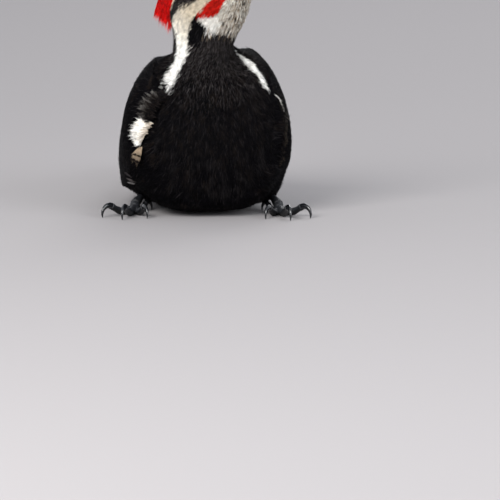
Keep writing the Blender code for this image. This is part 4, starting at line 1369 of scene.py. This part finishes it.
def make_feet():
    """Scaled feet, one skin from the shank to the ends of the toes, and the glossy hooked claws."""
    for word, side in SIDES:
        foot, heel = mirrored(FOOT_LEFT, side), mirrored(HEEL_LEFT, side)
        share = np.linspace(0, 1, 40)
        lines = [(heel + np.outer(share, foot - heel), 2.9 - 0.9 * np.sin(math.pi * np.minimum(share * 1.2, 1)))]
        rings, faces, start = [], [], 0
        for toe in TOES:
            line, radii, ahead = toe_line(side, *toe)
            lines.append((line, radii * (1 + 0.07 * np.cos(TURN * 3 * np.linspace(0, 1, len(line))))))
            onward = unit(line[-1] - line[-2])
            claw = claw_rings(line[-1] + onward * 0.1, ahead, onward, radii[-1])
            rings.append(claw.reshape(-1, 3))
            faces.append(grid_faces(*claw.shape[:2], start))
            start += len(rings[-1])

        bm = bmesh.new()
        for line, radii in lines:
            loft_into(bm, tube_rings(line, radii, 20))
        ball = bmesh.ops.create_uvsphere(bm, u_segments=24, v_segments=16, radius=FOOT_BALL * MM)["verts"]
        bmesh.ops.translate(bm, verts=ball, vec=Vector(placed(foot - 1.2 * UP)))
        skin = remeshed(f"foot_{word}_skin", bm, voxel=0.32, rounds=3)
        points, normals = read(skin.data, "co") / MM - ORIGIN, read(skin.data, "normal")
        rise, scute = scutes(points, normals, lines)
        shape = points + normals * rise
        shape[:, 2] = np.maximum(shape[:, 2], 0.0)
        skin.data.vertices.foreach_set("co", placed(shape).astype(np.float32).ravel())
        skin.data.update()
        finished(skin, FOOT_GREY * (0.45 + 0.9 * scute), "foot_skin")
        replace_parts(skin, f"foot_{word}", f"shank_{word}")

        points = np.concatenate(rings)
        points[:, 2] = np.maximum(points[:, 2], 0.0)
        claws = mesh_piece(f"claws_{word}", points, np.concatenate(faces)[:, ::-1], "claw_horn", CLAW_BLACK)
        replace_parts(claws, *[f"claw_{word}_{k + 1}" for k in range(len(TOES))])


# ---- Floor, light and camera ----


def make_stage():
    look = bpy.data.materials.new("floor")
    look.use_nodes = True
    shader = look.node_tree.nodes["Principled BSDF"]
    shader.inputs["Base Color"].default_value = (0.262, 0.250, 0.255, 1)
    shader.inputs["Roughness"].default_value = 0.9
    bpy.ops.mesh.primitive_plane_add(size=60)
    floor = bpy.context.object
    floor.name = "floor"
    floor.data.materials.append(look)

    world = bpy.data.worlds.new("studio")
    bpy.context.scene.world = world
    world.use_nodes = True
    back = world.node_tree.nodes["Background"]
    back.inputs["Color"].default_value = (0.93, 0.95, 1.0, 1)
    back.inputs["Strength"].default_value = 0.8

    middle = Vector(((CAD_BOX[0] + CAD_BOX[1]) / 2))
    # where from, size, watts, colour
    for name, place, size, power, colour in (
        ("key", (-0.8, -1.5, 1.0), 1.0, 50, (1.0, 0.985, 0.96)),
        ("fill", (1.3, -1.2, 0.6), 1.2, 22, (0.94, 0.97, 1.0)),
        ("rim", (0.5, 1.4, 1.3), 1.0, 14, (1.0, 1.0, 1.0)),
    ):
        light = bpy.data.lights.new(name, "AREA")
        light.size, light.energy, light.color = size, power, colour
        lamp = linked(name, light)
        lamp.location = middle + Vector(place)
        lamp.rotation_euler = (middle - lamp.location).to_track_quat("-Z", "Y").to_euler()


def make_camera():
    """A long lens four metres off, looking a little down, with the bird's head past the top of the frame."""
    elevation = math.radians(8.0)
    distance, frame_wide, right, rise = 4000.0, 300.0, 26.4, -23.4
    ahead = np.array([0, math.cos(elevation), -math.sin(elevation)])
    up = np.array([0, math.sin(elevation), math.cos(elevation)])
    aim = np.array([right, 0, 0]) + up * rise
    data = bpy.data.cameras.new("camera")
    data.sensor_width = 36.0
    data.lens = data.sensor_width * distance / frame_wide
    data.clip_start, data.clip_end = 0.1, 100.0
    camera = linked("camera", data)
    camera.location = Vector(placed(aim - ahead * distance))
    camera.rotation_euler = (math.radians(90) - elevation, 0, 0)
    bpy.context.scene.camera = camera
    bpy.context.scene.view_settings.view_transform = "Standard"


def main():
    body = body_surface()
    wings, thighs = ([make(side) for _, side in SIDES] for make in (wing_surface, thigh_surface))
    crest = crest_surface()
    make_skin(body, wings, thighs, crest)
    make_body_coat(body)
    make_eye_rings(body)
    make_bridges(body, wings, hull_surface([body, *wings, *thighs]))
    make_loose_feathers(body)
    make_bristles(body)
    make_crest(crest)
    make_thigh_coats(thighs)
    make_wing_coats(wings)
    make_flight_feathers()
    make_tail()
    make_eyes()
    make_lids()
    make_bill()
    make_feet()
    make_stage()
    make_camera()


main()
